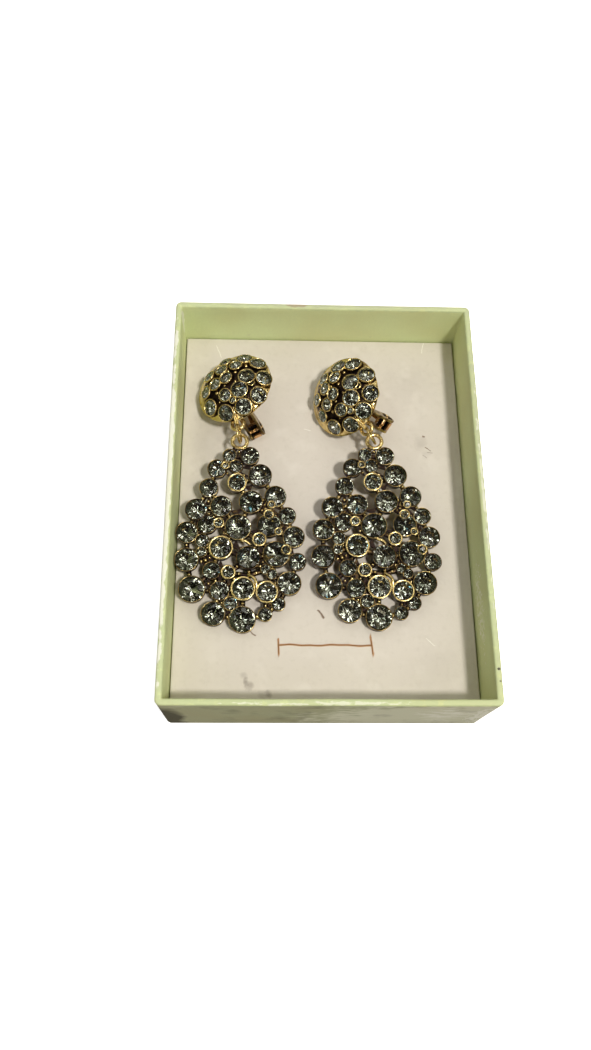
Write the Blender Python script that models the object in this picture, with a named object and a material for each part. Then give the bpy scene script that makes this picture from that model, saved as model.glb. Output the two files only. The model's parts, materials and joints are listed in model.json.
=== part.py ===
"""A pair of chandelier clip earrings lying in an open card gift box.

Metres, +Z up, X across the box and +Y to its back.
"""

import math

import bpy
from mathutils import Matrix, Vector

# Clearances
GAP = 0.0003  # running gap between two pieces
BITE = 0.0005  # how far a soldered piece sinks into its neighbour

# Bezel cups: outer diameter, depth of the cup below its lip, height of its back above the drop's back plane
GRAND_DIAMETER = 0.0069
GRAND_DEPTH = 0.0030
GRAND_BACK = 0.0000
LARGE_DIAMETER = 0.0062
LARGE_DEPTH = 0.0028
LARGE_BACK = 0.0001
BROAD_DIAMETER = 0.0057
BROAD_DEPTH = 0.0026
BROAD_BACK = 0.0002
MEDIUM_DIAMETER = 0.0050
MEDIUM_DEPTH = 0.0024
MEDIUM_BACK = 0.0003
FINE_DIAMETER = 0.0046
FINE_DEPTH = 0.0022
FINE_BACK = 0.0004
SMALL_DIAMETER = 0.0036
SMALL_DEPTH = 0.0019
SMALL_BACK = 0.0007
SLIGHT_DIAMETER = 0.0026
SLIGHT_DEPTH = 0.0017
SLIGHT_BACK = 0.0011
TINY_DIAMETER = 0.0018
TINY_DEPTH = 0.0015
TINY_BACK = 0.0015
BEZELS = {
    "grand": (GRAND_DIAMETER, GRAND_DEPTH, GRAND_BACK),
    "large": (LARGE_DIAMETER, LARGE_DEPTH, LARGE_BACK),
    "broad": (BROAD_DIAMETER, BROAD_DEPTH, BROAD_BACK),
    "medium": (MEDIUM_DIAMETER, MEDIUM_DEPTH, MEDIUM_BACK),
    "fine": (FINE_DIAMETER, FINE_DEPTH, FINE_BACK),
    "small": (SMALL_DIAMETER, SMALL_DEPTH, SMALL_BACK),
    "slight": (SLIGHT_DIAMETER, SLIGHT_DEPTH, SLIGHT_BACK),
    "tiny": (TINY_DIAMETER, TINY_DEPTH, TINY_BACK),
}
BEZEL_LIP = 0.00035
CROWN_RISE = 0.00035
TABLE_SHARE = 0.55  # a cut stone's flat table, as a share of its width
PROUD = 0.0005  # extra height of a raised bezel
ROUND_SIDES = 10
SMALL_SIDES = 8
LARGE_FROM = 0.0053  # bezels from this diameter up have ROUND_SIDES sides

# Drop: an open cluster of bezels joined by short webs, hung from one cast loop
STONES_ACROSS = 0.0300  # between the centres of the outermost stones
STONES_ALONG = 0.0457  # from the lowest stone's centre to the top one's
WEB_WIDTH = 0.0010
WEB_BACK = 0.0006  # height of a web's back above the drop's back plane
WEB_DEPTH = 0.0009
BEAD_DIAMETER = 0.0016
LOOP_MEAN_R = 0.0021
LOOP_WIRE_R = 0.0006
LOOP_ABOVE_TOP_STONE = 0.0044
LOOP_ACROSS = -0.055  # share of half the stones' spread
LOOP_HEIGHT = 0.0014

# Stones of the drop: place across as a share of half their spread, up as a share of it, bezel, raised lip
DROP_STONES = [
    (0.00, 0.000, "grand", 0),
    (0.40, 0.030, "small", 0),
    (-0.515, 0.035, "large", 0),
    (0.635, 0.090, "small", 0),
    (-0.205, 0.095, "small", 0),
    (0.435, 0.160, "broad", 1),
    (-0.405, 0.170, "medium", 0),
    (0.01, 0.180, "large", 1),
    (-0.895, 0.180, "grand", 0),
    (0.835, 0.210, "large", 0),
    (0.53, 0.265, "slight", 0),
    (-0.25, 0.280, "small", 1),
    (-0.55, 0.290, "fine", 0),
    (0.415, 0.295, "slight", 0),
    (0.985, 0.340, "fine", 0),
    (-1.00, 0.355, "large", 0),
    (0.105, 0.365, "large", 0),
    (0.605, 0.385, "grand", 0),
    (-0.735, 0.400, "slight", 0),
    (0.785, 0.410, "slight", 1),
    (-0.385, 0.425, "large", 1),
    (-0.72, 0.470, "small", 0),
    (0.305, 0.475, "small", 1),
    (0.925, 0.490, "broad", 0),
    (-1.00, 0.520, "broad", 0),
    (0.65, 0.520, "tiny", 1),
    (-0.08, 0.550, "grand", 0),
    (0.48, 0.560, "large", 0),
    (-0.64, 0.570, "medium", 0),
    (-0.425, 0.575, "slight", 1),
    (0.81, 0.620, "fine", 0),
    (0.475, 0.625, "slight", 1),
    (-0.84, 0.660, "broad", 0),
    (-0.385, 0.680, "broad", 0),
    (0.525, 0.685, "tiny", 1),
    (0.15, 0.705, "large", 0),
    (0.60, 0.740, "broad", 0),
    (-0.615, 0.795, "medium", 0),
    (-0.10, 0.825, "medium", 1),
    (0.32, 0.870, "large", 0),
    (-0.47, 0.915, "medium", 0),
    (-0.12, 0.930, "small", 0),
    (-0.31, 0.930, "tiny", 1),
    (0.13, 0.995, "medium", 0),
    (-0.24, 1.000, "small", 0),
]
BEAD_PLACE = (0.12, 0.265)

# Button: a hollow dome set with stones, with a loop at its foot and a paddle clip behind
BUTTON_R = 0.0113
DOME_RISE = 0.0051
DOME_WALL = 0.0013
DOME_SIDES = 20
STONE_SINK = 0.0009  # how far a bezel's back lies under the dome's surface
STONE_STAND = 0.0009  # how far its lip stands over it
BUTTON_LOOP_MEAN_R = 0.0018
BUTTON_LOOP_WIRE_R = 0.0005
BUTTON_LOOP_REACH = 0.0007  # the loop's centre beyond the rim
BUTTON_LOOP_BACK = 0.0006  # and behind the rim's plane

# Stones of the button: distance from the middle as a share of the rim's radius, angle from the loop, bezel
BUTTON_STONES = [
    (0.03, 265, "small"),
    (0.50, 35, "fine"),
    (0.505, 82, "fine"),
    (0.43, 147, "small"),
    (0.36, 205, "small"),
    (0.35, 281, "small"),
    (0.47, 347, "small"),
    (0.63, 6, "tiny"),
    (0.64, 67, "tiny"),
    (0.865, 20, "fine"),
    (0.905, 51, "fine"),
    (0.89, 83, "fine"),
    (0.85, 117, "fine"),
    (0.735, 145, "fine"),
    (0.63, 187, "small"),
    (0.64, 239, "small"),
    (0.685, 281, "small"),
    (0.825, 313, "fine"),
    (0.87, 347, "fine"),
]

# Clip: two ears soldered inside the dome carry a hollow pin, on which a paddle lever's curled end swings
CLIP_TURN = math.radians(13)  # from the loop to the hinge, seen from the front
HINGE_OUT = 0.0106
HINGE_BACK = 0.0077
PIN_R = 0.0014
PIN_BORE_R = 0.0009
BARREL_R = 0.0023
BARREL_LENGTH = 0.0022
EAR_THICK = 0.0007
EAR_ROOT_START = 0.0006  # start and end of the ear's root, from the pin towards the dome's middle
EAR_ROOT_END = 0.0034
EAR_ROOT = (EAR_ROOT_START, EAR_ROOT_END)
ARM_THICK = 0.0007
PADDLE_THICK = 0.0009
PADDLE_OUT = 0.0115  # from the pin to the middle of the round pad
PADDLE_R = 0.0035

# Jump ring
JUMP_MEAN_R = 0.0026
JUMP_WIRE_R = 0.00035
JUMP_OUT = 0.0004  # it crosses the button's loop this far outside the loop's centre
LINK_SIDES = 14
WIRE_SIDES = 6

# Box: an open card tray with a raised liner
CARD = 0.0017
CORNER_R = 0.0015
BOX_HEIGHT = 0.0294
LINER_TOP = 0.0137
SIDE_MARGIN = 0.0007  # left drop to the left wall
PAIR_GAP = 0.0000
RIGHT_MARGIN = 0.0085
BOX_LENGTH = 0.1153
SLIT_FROM_FRONT = 0.0184
SLIT_LENGTH = 0.0250
SLIT_TICK = 0.0040
SLIT_WIDTH = 0.0008
SLIT_DEPTH = 0.0060

LARGEST_EDGE_R = BEZELS["large"][0] / 2
DROP_HALF = STONES_ACROSS / 2 + LARGEST_EDGE_R
BOX_WIDTH = 4 * DROP_HALF + SIDE_MARGIN + PAIR_GAP + RIGHT_MARGIN + 2 * CARD
LIE_HEIGHT = LINER_TOP + GAP

# How each earring lies: drop's foot, turn and rise, then the button's lean and the way its loop points
LEFT_FOOT_FROM_FRONT = 0.0214
LEFT_LOOP_ASIDE = -0.0006  # from the drop's loop, to the right
LEFT_LOOP_ALONG = 0.0050  # and away from the front
RIGHT_FOOT_FROM_FRONT = 0.0222
RIGHT_LOOP_ASIDE = -0.0023
RIGHT_LOOP_ALONG = 0.0032
LEFT = {
    "foot": (-BOX_WIDTH / 2 + CARD + SIDE_MARGIN + DROP_HALF, -BOX_LENGTH / 2 + LEFT_FOOT_FROM_FRONT),
    "turn": math.radians(0.8),
    "rise": math.radians(7.0),
    "lean": math.radians(23.6),
    "lean_heading": math.radians(166.5),
    "loop_heading": math.radians(-86),
    "loop_offset": (LEFT_LOOP_ASIDE, LEFT_LOOP_ALONG),
}
RIGHT = {
    "foot": (BOX_WIDTH / 2 - CARD - RIGHT_MARGIN - DROP_HALF, -BOX_LENGTH / 2 + RIGHT_FOOT_FROM_FRONT),
    "turn": math.radians(-1.0),
    "rise": math.radians(6.1),
    "lean": math.radians(43),
    "lean_heading": math.radians(-163),
    "loop_heading": math.radians(-64),
    "loop_offset": (RIGHT_LOOP_ASIDE, RIGHT_LOOP_ALONG),
}


def finish(name, colour, metallic, roughness):
    material = bpy.data.materials.new(name)
    material.use_nodes = True
    shader = material.node_tree.nodes["Principled BSDF"]
    shader.inputs["Base Color"].default_value = (*colour, 1)
    shader.inputs["Metallic"].default_value = metallic
    shader.inputs["Roughness"].default_value = roughness
    material.diffuse_color = (*colour, 1)
    return material


def stacked(name, loops):
    """A closed mesh through loops of equal length, bottom one first, with a flat cap on each end."""
    count = len(loops[0])
    points = [point for loop in loops for point in loop]
    faces = [list(range(count))[::-1], [len(points) - count + i for i in range(count)]]
    for level in range(len(loops) - 1):
        for i in range(count):
            low, after = level * count + i, level * count + (i + 1) % count
            faces.append([low, after, after + count, low + count])
    mesh = bpy.data.meshes.new(name)
    mesh.from_pydata(points, [], faces)
    return mesh


def circle(radius, height, sides, turn=0.0):
    angles = [turn + 2 * math.pi * i / sides for i in range(sides)]
    return [(radius * math.cos(angle), radius * math.sin(angle), height) for angle in angles]


def turned(name, profile, sides, turn=0.0):
    return stacked(name, [circle(radius, height, sides, turn) for radius, height in profile])


def hoop(name, mean_radius, wire_radius):
    """A ring of round wire in the XY plane."""
    points, faces = [], []
    for i in range(LINK_SIDES):
        turn = Matrix.Rotation(2 * math.pi * i / LINK_SIDES, 4, "Z")
        for x, z, _ in circle(wire_radius, 0, WIRE_SIDES):
            points.append(turn @ Vector((mean_radius + x, 0, z)))
    total = LINK_SIDES * WIRE_SIDES
    for i in range(LINK_SIDES):
        for k in range(WIRE_SIDES):
            here, above = i * WIRE_SIDES + k, i * WIRE_SIDES + (k + 1) % WIRE_SIDES
            faces.append([here, (here + WIRE_SIDES) % total, (above + WIRE_SIDES) % total, above])
    mesh = bpy.data.meshes.new(name)
    mesh.from_pydata(points, [], faces)
    return mesh


def slab(name, low, high):
    """A plain block between two corners."""
    corners = [(low[0], low[1]), (high[0], low[1]), (high[0], high[1]), (low[0], high[1])]
    return stacked(name, [[(x, y, z) for x, y in corners] for z in (low[2], high[2])])


def placed(mesh, matrix):
    mesh.transform(matrix)
    return mesh


def show(name, mesh, material):
    mesh.materials.clear()
    mesh.materials.append(material)
    mesh.shade_smooth()
    mesh.set_sharp_from_angle(angle=math.radians(30))
    shape = bpy.data.objects.new(name, mesh)
    bpy.context.scene.collection.objects.link(shape)
    return shape


def combined(name, first, others, operation):
    """One mesh from the first and the others by an exact Boolean."""
    scene = bpy.context.scene.collection
    base = bpy.data.objects.new(name, first)
    scene.objects.link(base)
    helpers = bpy.data.collections.new(name + "_helpers")
    scene.children.link(helpers)
    helpers.hide_render = True
    for number, mesh in enumerate(others):
        helper = bpy.data.objects.new(f"{name}_helper_{number}", mesh)
        helper.hide_render = True
        helper.display_type = "WIRE"
        helpers.objects.link(helper)
    boolean = base.modifiers.new("combine", "BOOLEAN")
    boolean.operation = operation
    boolean.operand_type = "COLLECTION"
    boolean.collection = helpers
    graph = bpy.context.evaluated_depsgraph_get()
    result = bpy.data.meshes.new_from_object(base.evaluated_get(graph))
    for helper in list(helpers.objects):
        bpy.data.objects.remove(helper)
    bpy.data.collections.remove(helpers)
    bpy.data.objects.remove(base)
    return result


def lowest(mesh, matrix):
    return min((matrix @ vertex.co).z for vertex in mesh.vertices)


def bezel(size, raised=0):
    """A cup with its cut stone, its back at the height that suits its size."""
    diameter, depth, back = BEZELS[size]
    sides = ROUND_SIDES if diameter >= LARGE_FROM else SMALL_SIDES
    lip = back + depth + raised * PROUD
    stone_r = diameter / 2 - BEZEL_LIP
    profile = [(diameter / 2, back), (diameter / 2, lip)]
    profile += [(stone_r, lip), (stone_r * TABLE_SHARE, lip + CROWN_RISE)]
    return turned("bezel", profile, sides)


def web(start, end):
    """A short flat bar between two places on the drop."""
    run = end - start
    bar = slab("web", (0, -WEB_WIDTH / 2, WEB_BACK), (run.length, WEB_WIDTH / 2, WEB_BACK + WEB_DEPTH))
    turn = Matrix.Rotation(math.atan2(run.y, run.x), 4, "Z")
    return placed(bar, Matrix.Translation((start.x, start.y, 0)) @ turn)


def drop_place(across, up):
    foot_r = BEZELS["grand"][0] / 2
    return Vector((across * STONES_ACROSS / 2, foot_r + up * STONES_ALONG))


def neighbours(places):
    """Pairs with no third place nearer to both, so that webs join every stone and leave the gaps open."""
    pairs = []
    for i, here in enumerate(places):
        for k in range(i + 1, len(places)):
            span = (places[k] - here).length
            others = places[:i] + places[i + 1:k] + places[k + 1:]
            if all(max((other - here).length, (other - places[k]).length) >= span for other in others):
                pairs.append((i, k))
    return pairs


def loop_place():
    top = drop_place(LOOP_ACROSS, 1.0)
    return Vector((top.x, top.y + LOOP_ABOVE_TOP_STONE, LOOP_HEIGHT))


def drop_mesh():
    pieces, places, radii = [], [], []
    for across, up, size, raised in DROP_STONES:
        place = drop_place(across, up)
        places.append(place)
        radii.append(BEZELS[size][0] / 2)
        pieces.append(placed(bezel(size, raised), Matrix.Translation(place.to_3d())))
    bead_place = drop_place(*BEAD_PLACE)
    bead_r = BEAD_DIAMETER / 2
    shares = ((0.5, 0), (1, 0.5), (1, 1.5), (0.5, 2))
    bead_profile = [(bead_r * wide, bead_r * high) for wide, high in shares]
    bead = turned("bead", bead_profile, SMALL_SIDES)
    pieces.append(placed(bead, Matrix.Translation((bead_place.x, bead_place.y, WEB_BACK + WEB_DEPTH / 2))))
    places.append(bead_place)
    radii.append(bead_r)
    loop = loop_place()
    places.append(loop.to_2d())
    radii.append(LOOP_MEAN_R + LOOP_WIRE_R)
    pieces.append(placed(hoop("loop", LOOP_MEAN_R, LOOP_WIRE_R), Matrix.Translation(loop)))
    for i, k in neighbours(places):
        way = (places[k] - places[i]).normalized()
        start = places[i] + way * (radii[i] - BITE)
        end = places[k] - way * (radii[k] - BITE)
        if (end - start).dot(way) > BITE:
            pieces.append(web(start, end))
    return combined("drop", pieces[0], pieces[1:], "UNION")


def dome_radius():
    return (BUTTON_R**2 + DOME_RISE**2) / (2 * DOME_RISE)


def dome_height(distance, depth=0.0):
    """Height over the rim's plane of the dome's surface, or of one lying deeper, this far from the axis."""
    return math.sqrt((dome_radius() - depth) ** 2 - distance**2) - (dome_radius() - DOME_RISE)


def dome_shell():
    inner_rim = math.sqrt((dome_radius() - DOME_WALL) ** 2 - (dome_radius() - DOME_RISE) ** 2)
    profile = [(inner_rim * share, dome_height(inner_rim * share, DOME_WALL)) for share in (0.3, 0.7)]
    profile += [(inner_rim, 0), (BUTTON_R, 0)]
    profile += [(BUTTON_R * share, dome_height(BUTTON_R * share)) for share in (0.85, 0.6, 0.25)]
    return turned("dome", profile, DOME_SIDES)


def on_dome(share, angle):
    """Where a stone of the button stands: Z along the dome's outward normal, at its surface."""
    middle = Matrix.Translation((0, 0, DOME_RISE - dome_radius()))
    slope = math.asin(share * BUTTON_R / (dome_radius() + STONE_STAND))
    tip = Matrix.Rotation(math.radians(angle), 4, "Z") @ Matrix.Rotation(slope, 4, "Y")
    return middle @ tip @ Matrix.Translation((0, 0, dome_radius()))


def button_stone(size, share, angle):
    radius = BEZELS[size][0] / 2
    stone_r = radius - BEZEL_LIP
    profile = [(radius, -STONE_SINK), (radius, STONE_STAND), (stone_r, STONE_STAND)]
    profile += [(stone_r * TABLE_SHARE, STONE_STAND + CROWN_RISE)]
    return placed(turned("bezel", profile, SMALL_SIDES), on_dome(share, angle))


def hinge_frame():
    """The clip's frame on the button: X from the hinge across the back, Y along the pin, Z to the front."""
    across = Matrix.Rotation(CLIP_TURN + math.pi, 4, "Z")
    return across @ Matrix.Translation((-HINGE_OUT, 0, -HINGE_BACK))


def ear(side):
    """A plate with a round end about the pin, whose root lies inside the dome's wall."""
    inner = BARREL_LENGTH / 2 + GAP
    middle = inner + EAR_THICK / 2
    corners = []
    for along in reversed(EAR_ROOT):
        distance = math.hypot(along - HINGE_OUT, middle)
        corners.append((along, HINGE_BACK + dome_height(distance, DOME_WALL / 2)))
    steps = 8
    arc = [math.radians(150) + math.radians(220) * i / steps for i in range(steps + 1)]
    outline = corners + [(BARREL_R * math.cos(angle), BARREL_R * math.sin(angle)) for angle in arc]
    faces = sorted((side * inner, side * (inner + EAR_THICK)), reverse=True)
    plate = stacked("ear", [[(x, y, z) for x, z in outline] for y in faces])
    return placed(plate, hinge_frame())


def along_pin(name, radius, half_length):
    rod = turned(name, [(radius, -half_length), (radius, half_length)], ROUND_SIDES)
    return placed(rod, Matrix.Rotation(-math.pi / 2, 4, "X"))


def pin_half_length():
    return BARREL_LENGTH / 2 + GAP + EAR_THICK


def pin_mesh():
    rod = along_pin("pin", PIN_R, pin_half_length())
    return combined("pin", rod, [along_pin("bore", PIN_BORE_R, 2 * pin_half_length())], "DIFFERENCE")


def button_loop_place():
    return Vector((BUTTON_R + BUTTON_LOOP_REACH, 0, -BUTTON_LOOP_BACK))


def button_mesh():
    ring = hoop("loop", BUTTON_LOOP_MEAN_R, BUTTON_LOOP_WIRE_R)
    placed(ring, Matrix.Translation(button_loop_place()))
    pieces = [button_stone(size, share, angle) for share, angle, size in BUTTON_STONES]
    pieces += [ear(-1), ear(1), ring]
    body = combined("button", dome_shell(), pieces, "UNION")
    bore = placed(along_pin("bore", PIN_R + GAP, pin_half_length() + EAR_THICK), hinge_frame())
    return combined("button", body, [bore], "DIFFERENCE")


def lever_mesh():
    """A curled barrel, a flat arm off its back and a round pad, X along the arm, the pin at the origin."""
    barrel = along_pin("barrel", BARREL_R, BARREL_LENGTH / 2)
    back, half = -BARREL_R * math.cos(math.pi / ROUND_SIDES), BARREL_LENGTH / 2 - BITE / 2
    arm = slab("arm", (0, -half, back), (PADDLE_OUT, half, back + ARM_THICK))
    pad_back = back + (ARM_THICK - PADDLE_THICK) / 2
    pad = turned("pad", [(PADDLE_R, pad_back), (PADDLE_R, pad_back + PADDLE_THICK)], ROUND_SIDES)
    placed(pad, Matrix.Translation((PADDLE_OUT, 0, 0)))
    body = combined("lever", barrel, [arm, pad], "UNION")
    return combined("lever", body, [along_pin("bore", PIN_R + GAP, BARREL_LENGTH)], "DIFFERENCE")


def rest_swing(hinge, lever):
    """The lever's swing from the rim's plane at which it lies just clear of the liner."""
    low, high = math.radians(-45), math.radians(60)
    for _ in range(30):
        middle = (low + high) / 2
        clear = lowest(lever, hinge @ Matrix.Rotation(-middle, 4, "Y")) > LIE_HEIGHT
        low, high = (low, middle) if clear else (middle, high)
    return high


def lying_drop(side, drop):
    turn = Matrix.Rotation(side["turn"], 4, "Z") @ Matrix.Rotation(side["rise"], 4, "X")
    height = LIE_HEIGHT - lowest(drop, turn)
    return Matrix.Translation((*side["foot"], height)) @ turn


def lying_button(side, button, loop_end):
    """Leans the button, points its loop, puts it beside the drop's and sets the lowest edge on the liner."""
    level = (math.cos(side["lean_heading"]), math.sin(side["lean_heading"]))
    normal = Vector((*(c * math.sin(side["lean"]) for c in level), math.cos(side["lean"])))
    heading = Vector((math.cos(side["loop_heading"]), math.sin(side["loop_heading"]), 0))
    heading.z = -normal.dot(heading) / normal.z
    heading.normalize()
    turn = Matrix((heading, normal.cross(heading), normal)).transposed().to_4x4()
    target = Vector((loop_end.x + side["loop_offset"][0], loop_end.y + side["loop_offset"][1], 0))
    place = target - turn @ button_loop_place()
    place.z = LIE_HEIGHT - lowest(button, turn)
    return Matrix.Translation(place) @ turn


def jump_ring(drop_seat, drop_normal, button_seat, button_normal):
    """A ring through both loops, in the plane of its two seats and the mean of the loops' axes."""
    reach = (button_seat - drop_seat).normalized()
    through = drop_normal + button_normal
    through = (through - reach * through.dot(reach)).normalized()
    turn = Matrix((reach, through, reach.cross(through))).transposed().to_4x4()
    middle = Matrix.Translation((drop_seat + button_seat) / 2)
    return placed(hoop("jump_ring", JUMP_MEAN_R, JUMP_WIRE_R), middle @ turn)


def rounded(width, length, radius, height, steps=3):
    loop = []
    for corner, (x, y) in enumerate([(1, 1), (-1, 1), (-1, -1), (1, -1)]):
        for i in range(steps):
            angle = math.pi / 2 * (corner + i / (steps - 1))
            across = x * (width / 2 - radius) + radius * math.cos(angle)
            loop.append((across, y * (length / 2 - radius) + radius * math.sin(angle), height))
    return loop


def tray_mesh():
    inner_width, inner_length = BOX_WIDTH - 2 * CARD, BOX_LENGTH - 2 * CARD
    loops = [rounded(BOX_WIDTH, BOX_LENGTH, CORNER_R, z) for z in (0, BOX_HEIGHT)]
    loops += [rounded(inner_width, inner_length, CORNER_R / 4, z) for z in (BOX_HEIGHT, CARD)]
    return stacked("tray", loops)


def liner_mesh():
    """The raised liner, with a slit across its front and a short cut across each end of the slit."""
    width, length = BOX_WIDTH - 2 * (CARD + GAP), BOX_LENGTH - 2 * (CARD + GAP)
    pad = stacked("liner", [rounded(width, length, CORNER_R / 4, z) for z in (CARD + GAP, LINER_TOP)])
    middle = -BOX_LENGTH / 2 + SLIT_FROM_FRONT
    half, across = SLIT_LENGTH / 2, SLIT_WIDTH / 2
    floor, over = LINER_TOP - SLIT_DEPTH, LINER_TOP + CARD
    slit = slab("slit", (-half, middle - across, floor), (half, middle + across, over))
    ticks = []
    for x in (-half, half):
        low = (x - across, middle - SLIT_TICK / 2, floor - GAP)
        ticks.append(slab("tick", low, (x + across, middle + SLIT_TICK / 2, over + GAP)))
    return combined("liner", pad, [slit, *ticks], "DIFFERENCE")


for stale in list(bpy.data.objects):
    bpy.data.objects.remove(stale)

CARD_FINISH = finish("pale_green_card", (0.66, 0.70, 0.42), 0.0, 0.75)
LINER_FINISH = finish("cream_paper", (0.78, 0.72, 0.62), 0.0, 0.9)
JEWEL_FINISH = finish("antique_gold_and_smoky_crystal", (0.42, 0.30, 0.12), 1.0, 0.35)
LINK_FINISH = finish("antique_gold", (0.68, 0.46, 0.16), 1.0, 0.3)

show("box_tray", tray_mesh(), CARD_FINISH)
show("box_liner", liner_mesh(), LINER_FINISH)
DROP, BUTTON, LEVER, PIN = drop_mesh(), button_mesh(), lever_mesh(), pin_mesh()
for hand, side in (("left", LEFT), ("right", RIGHT)):
    drop_matrix = lying_drop(side, DROP)
    drop_loop = drop_matrix @ loop_place()
    button_matrix = lying_button(side, BUTTON, drop_loop)
    hinge = button_matrix @ hinge_frame()
    swing = Matrix.Rotation(-rest_swing(hinge, LEVER), 4, "Y")
    button_seat = button_matrix @ (button_loop_place() + Vector((JUMP_OUT, 0, 0)))
    ring = jump_ring(drop_loop, drop_matrix.col[2].to_3d(), button_seat, button_matrix.col[2].to_3d())
    show(f"drop_{hand}", DROP.copy(), JEWEL_FINISH).matrix_world = drop_matrix
    show(f"button_{hand}", BUTTON.copy(), JEWEL_FINISH).matrix_world = button_matrix
    show(f"clip_lever_{hand}", LEVER.copy(), LINK_FINISH).matrix_world = hinge @ swing
    show(f"clip_pin_{hand}", PIN.copy(), LINK_FINISH).matrix_world = hinge
    show(f"jump_ring_{hand}", ring, LINK_FINISH)
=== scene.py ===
"""A pair of chandelier clip earrings in an open card gift box: finishes, cut stones, light and view."""

import json
import math
import random

import bmesh
import bpy
from mathutils import Matrix, Vector, noise
from mathutils.geometry import delaunay_2d_cdt

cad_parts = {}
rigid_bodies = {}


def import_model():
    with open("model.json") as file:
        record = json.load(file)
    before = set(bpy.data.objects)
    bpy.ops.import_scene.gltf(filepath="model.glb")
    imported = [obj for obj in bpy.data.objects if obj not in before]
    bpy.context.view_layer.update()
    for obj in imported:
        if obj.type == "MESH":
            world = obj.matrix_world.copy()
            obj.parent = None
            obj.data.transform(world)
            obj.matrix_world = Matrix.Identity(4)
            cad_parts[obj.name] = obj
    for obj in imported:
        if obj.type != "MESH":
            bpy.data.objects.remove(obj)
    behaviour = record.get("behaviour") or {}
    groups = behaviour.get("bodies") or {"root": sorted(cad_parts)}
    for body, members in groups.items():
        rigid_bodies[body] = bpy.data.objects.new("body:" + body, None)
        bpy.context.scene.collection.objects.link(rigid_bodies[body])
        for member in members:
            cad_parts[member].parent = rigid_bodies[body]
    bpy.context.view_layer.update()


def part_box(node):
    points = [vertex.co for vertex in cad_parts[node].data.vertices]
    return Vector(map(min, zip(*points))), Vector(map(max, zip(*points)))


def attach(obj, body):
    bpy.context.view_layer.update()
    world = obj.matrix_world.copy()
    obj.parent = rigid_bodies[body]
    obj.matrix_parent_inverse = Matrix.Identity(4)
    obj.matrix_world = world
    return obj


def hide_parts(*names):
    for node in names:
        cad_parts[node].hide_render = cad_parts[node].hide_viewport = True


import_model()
MM = 0.001

# The box is grey card wrapped in thin pale yellow-green paper, which is turned over the rim and glued down
# inside. Handling has softened its edges, bowed its walls a little and rubbed its outside dull and grey.
# The outside's darker green is partly painted shade, and the rim tops carry painted shade and a painted
# highlight.
CARD = 1.7 * MM
CARD_CORNER_R = 1.5 * MM
CARD_EDGE_R = 0.55 * MM
WALL_BOW = 0.16 * MM
RIM_WAVE = 0.07 * MM
INSIDE_GREEN = (0.70, 0.79, 0.43)
# Darker than the inside partly from rubbing and dirt, partly as painted shade for the dim outer walls.
SHADED_OUTSIDE_GREEN = (0.51, 0.545, 0.365)
SCUFF_WHITE = (0.95, 0.955, 0.85)
# A painted shade tone that dims the rim tops, which the lamp lights fully.
RIM_PAINTED_SHADE = (0.55, 0.62, 0.36)
RUB_BROWN = (0.42, 0.33, 0.22)
DUST = (0.86, 0.87, 0.72)
STAIN = (0.10, 0.095, 0.06)
FLOOR_RISE = 2.0 * MM
BOW_FROM = 8 * MM
PAPER_ROUGH = 0.72
PAPER_BUMP = 0.06 * MM
DRIFT_SCALE = 45
PATCH_SCALE = 55
FIBRE_SCALE = 1500
SCUFF_SCALE = 300
WEAR_AND_PAINTED_LIGHT_SCALE = 600
WEAR_AND_PAINTED_LIGHT_LEVEL = 0.55
CRINKLE_SCALE = 160
CRINKLE_HALF = 0.030
OUTER_SHARES = (0.2, 0.4, 0.6, 0.8, 0.92)
INNER_SHARES = (0.9, 0.75, 0.6, 0.45, 0.25)


def add_node(tree, kind, inputs=None, **settings):
    """A node whose inputs are values, or sockets to link from."""
    node = tree.nodes.new(kind)
    for key, value in settings.items():
        setattr(node, key, value)
    for socket, value in (inputs or {}).items():
        if isinstance(value, bpy.types.NodeSocket):
            tree.links.new(value, node.inputs[socket])
        else:
            node.inputs[socket].default_value = value
    return node


def maths(tree, operation, *values):
    """What a maths node makes of numbers or sockets."""
    return add_node(tree, "ShaderNodeMath", dict(enumerate(values)), operation=operation).outputs[0]


def vector_maths(tree, operation, *values):
    """What a vector maths node makes of one or two vectors, or of a vector and its scale."""
    inputs = dict(zip((0, 3) if operation == "SCALE" else (0, 1), values))
    node = add_node(tree, "ShaderNodeVectorMath", inputs, operation=operation)
    return node.outputs["Value" if operation in ("LENGTH", "DISTANCE", "DOT_PRODUCT") else "Vector"]


def own_place(tree):
    return tree.nodes.new("ShaderNodeTexCoord").outputs["Object"]


def new_finish(name, metallic=0.0, roughness=0.5):
    material = bpy.data.materials.new(name)
    material.use_nodes = True
    tree = material.node_tree
    shader = tree.nodes["Principled BSDF"]
    shader.inputs["Metallic"].default_value = metallic
    shader.inputs["Roughness"].default_value = roughness
    return material, tree, shader


def mixed(tree, share, first, second):
    """A colour between two, each a colour or a socket."""
    ends = [(*end, 1) if isinstance(end, tuple) else end for end in (first, second)]
    inputs = {"Factor": share, 6: ends[0], 7: ends[1]}
    return add_node(tree, "ShaderNodeMix", inputs, data_type="RGBA").outputs[2]


def cloud(tree, scale, detail=3.0, stretch=(1, 1, 1)):
    """Noise on the piece's own coordinates, from about 0.3 to 0.7."""
    turned = add_node(tree, "ShaderNodeMapping", {"Vector": own_place(tree), "Scale": stretch}).outputs[0]
    inputs = {"Vector": turned, "Scale": scale, "Detail": detail}
    return add_node(tree, "ShaderNodeTexNoise", inputs).outputs["Fac"]


def stepped(tree, value, low, high, to_low=0.0, to_high=1.0):
    inputs = {"Value": value, "From Min": low, "From Max": high, "To Min": to_low, "To Max": to_high}
    return add_node(tree, "ShaderNodeMapRange", inputs).outputs["Result"]


def bumped(tree, shader, height, strength, distance):
    inputs = {"Height": height, "Strength": strength, "Distance": distance}
    normal = add_node(tree, "ShaderNodeBump", inputs).outputs["Normal"]
    tree.links.new(normal, shader.inputs["Normal"])


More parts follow.
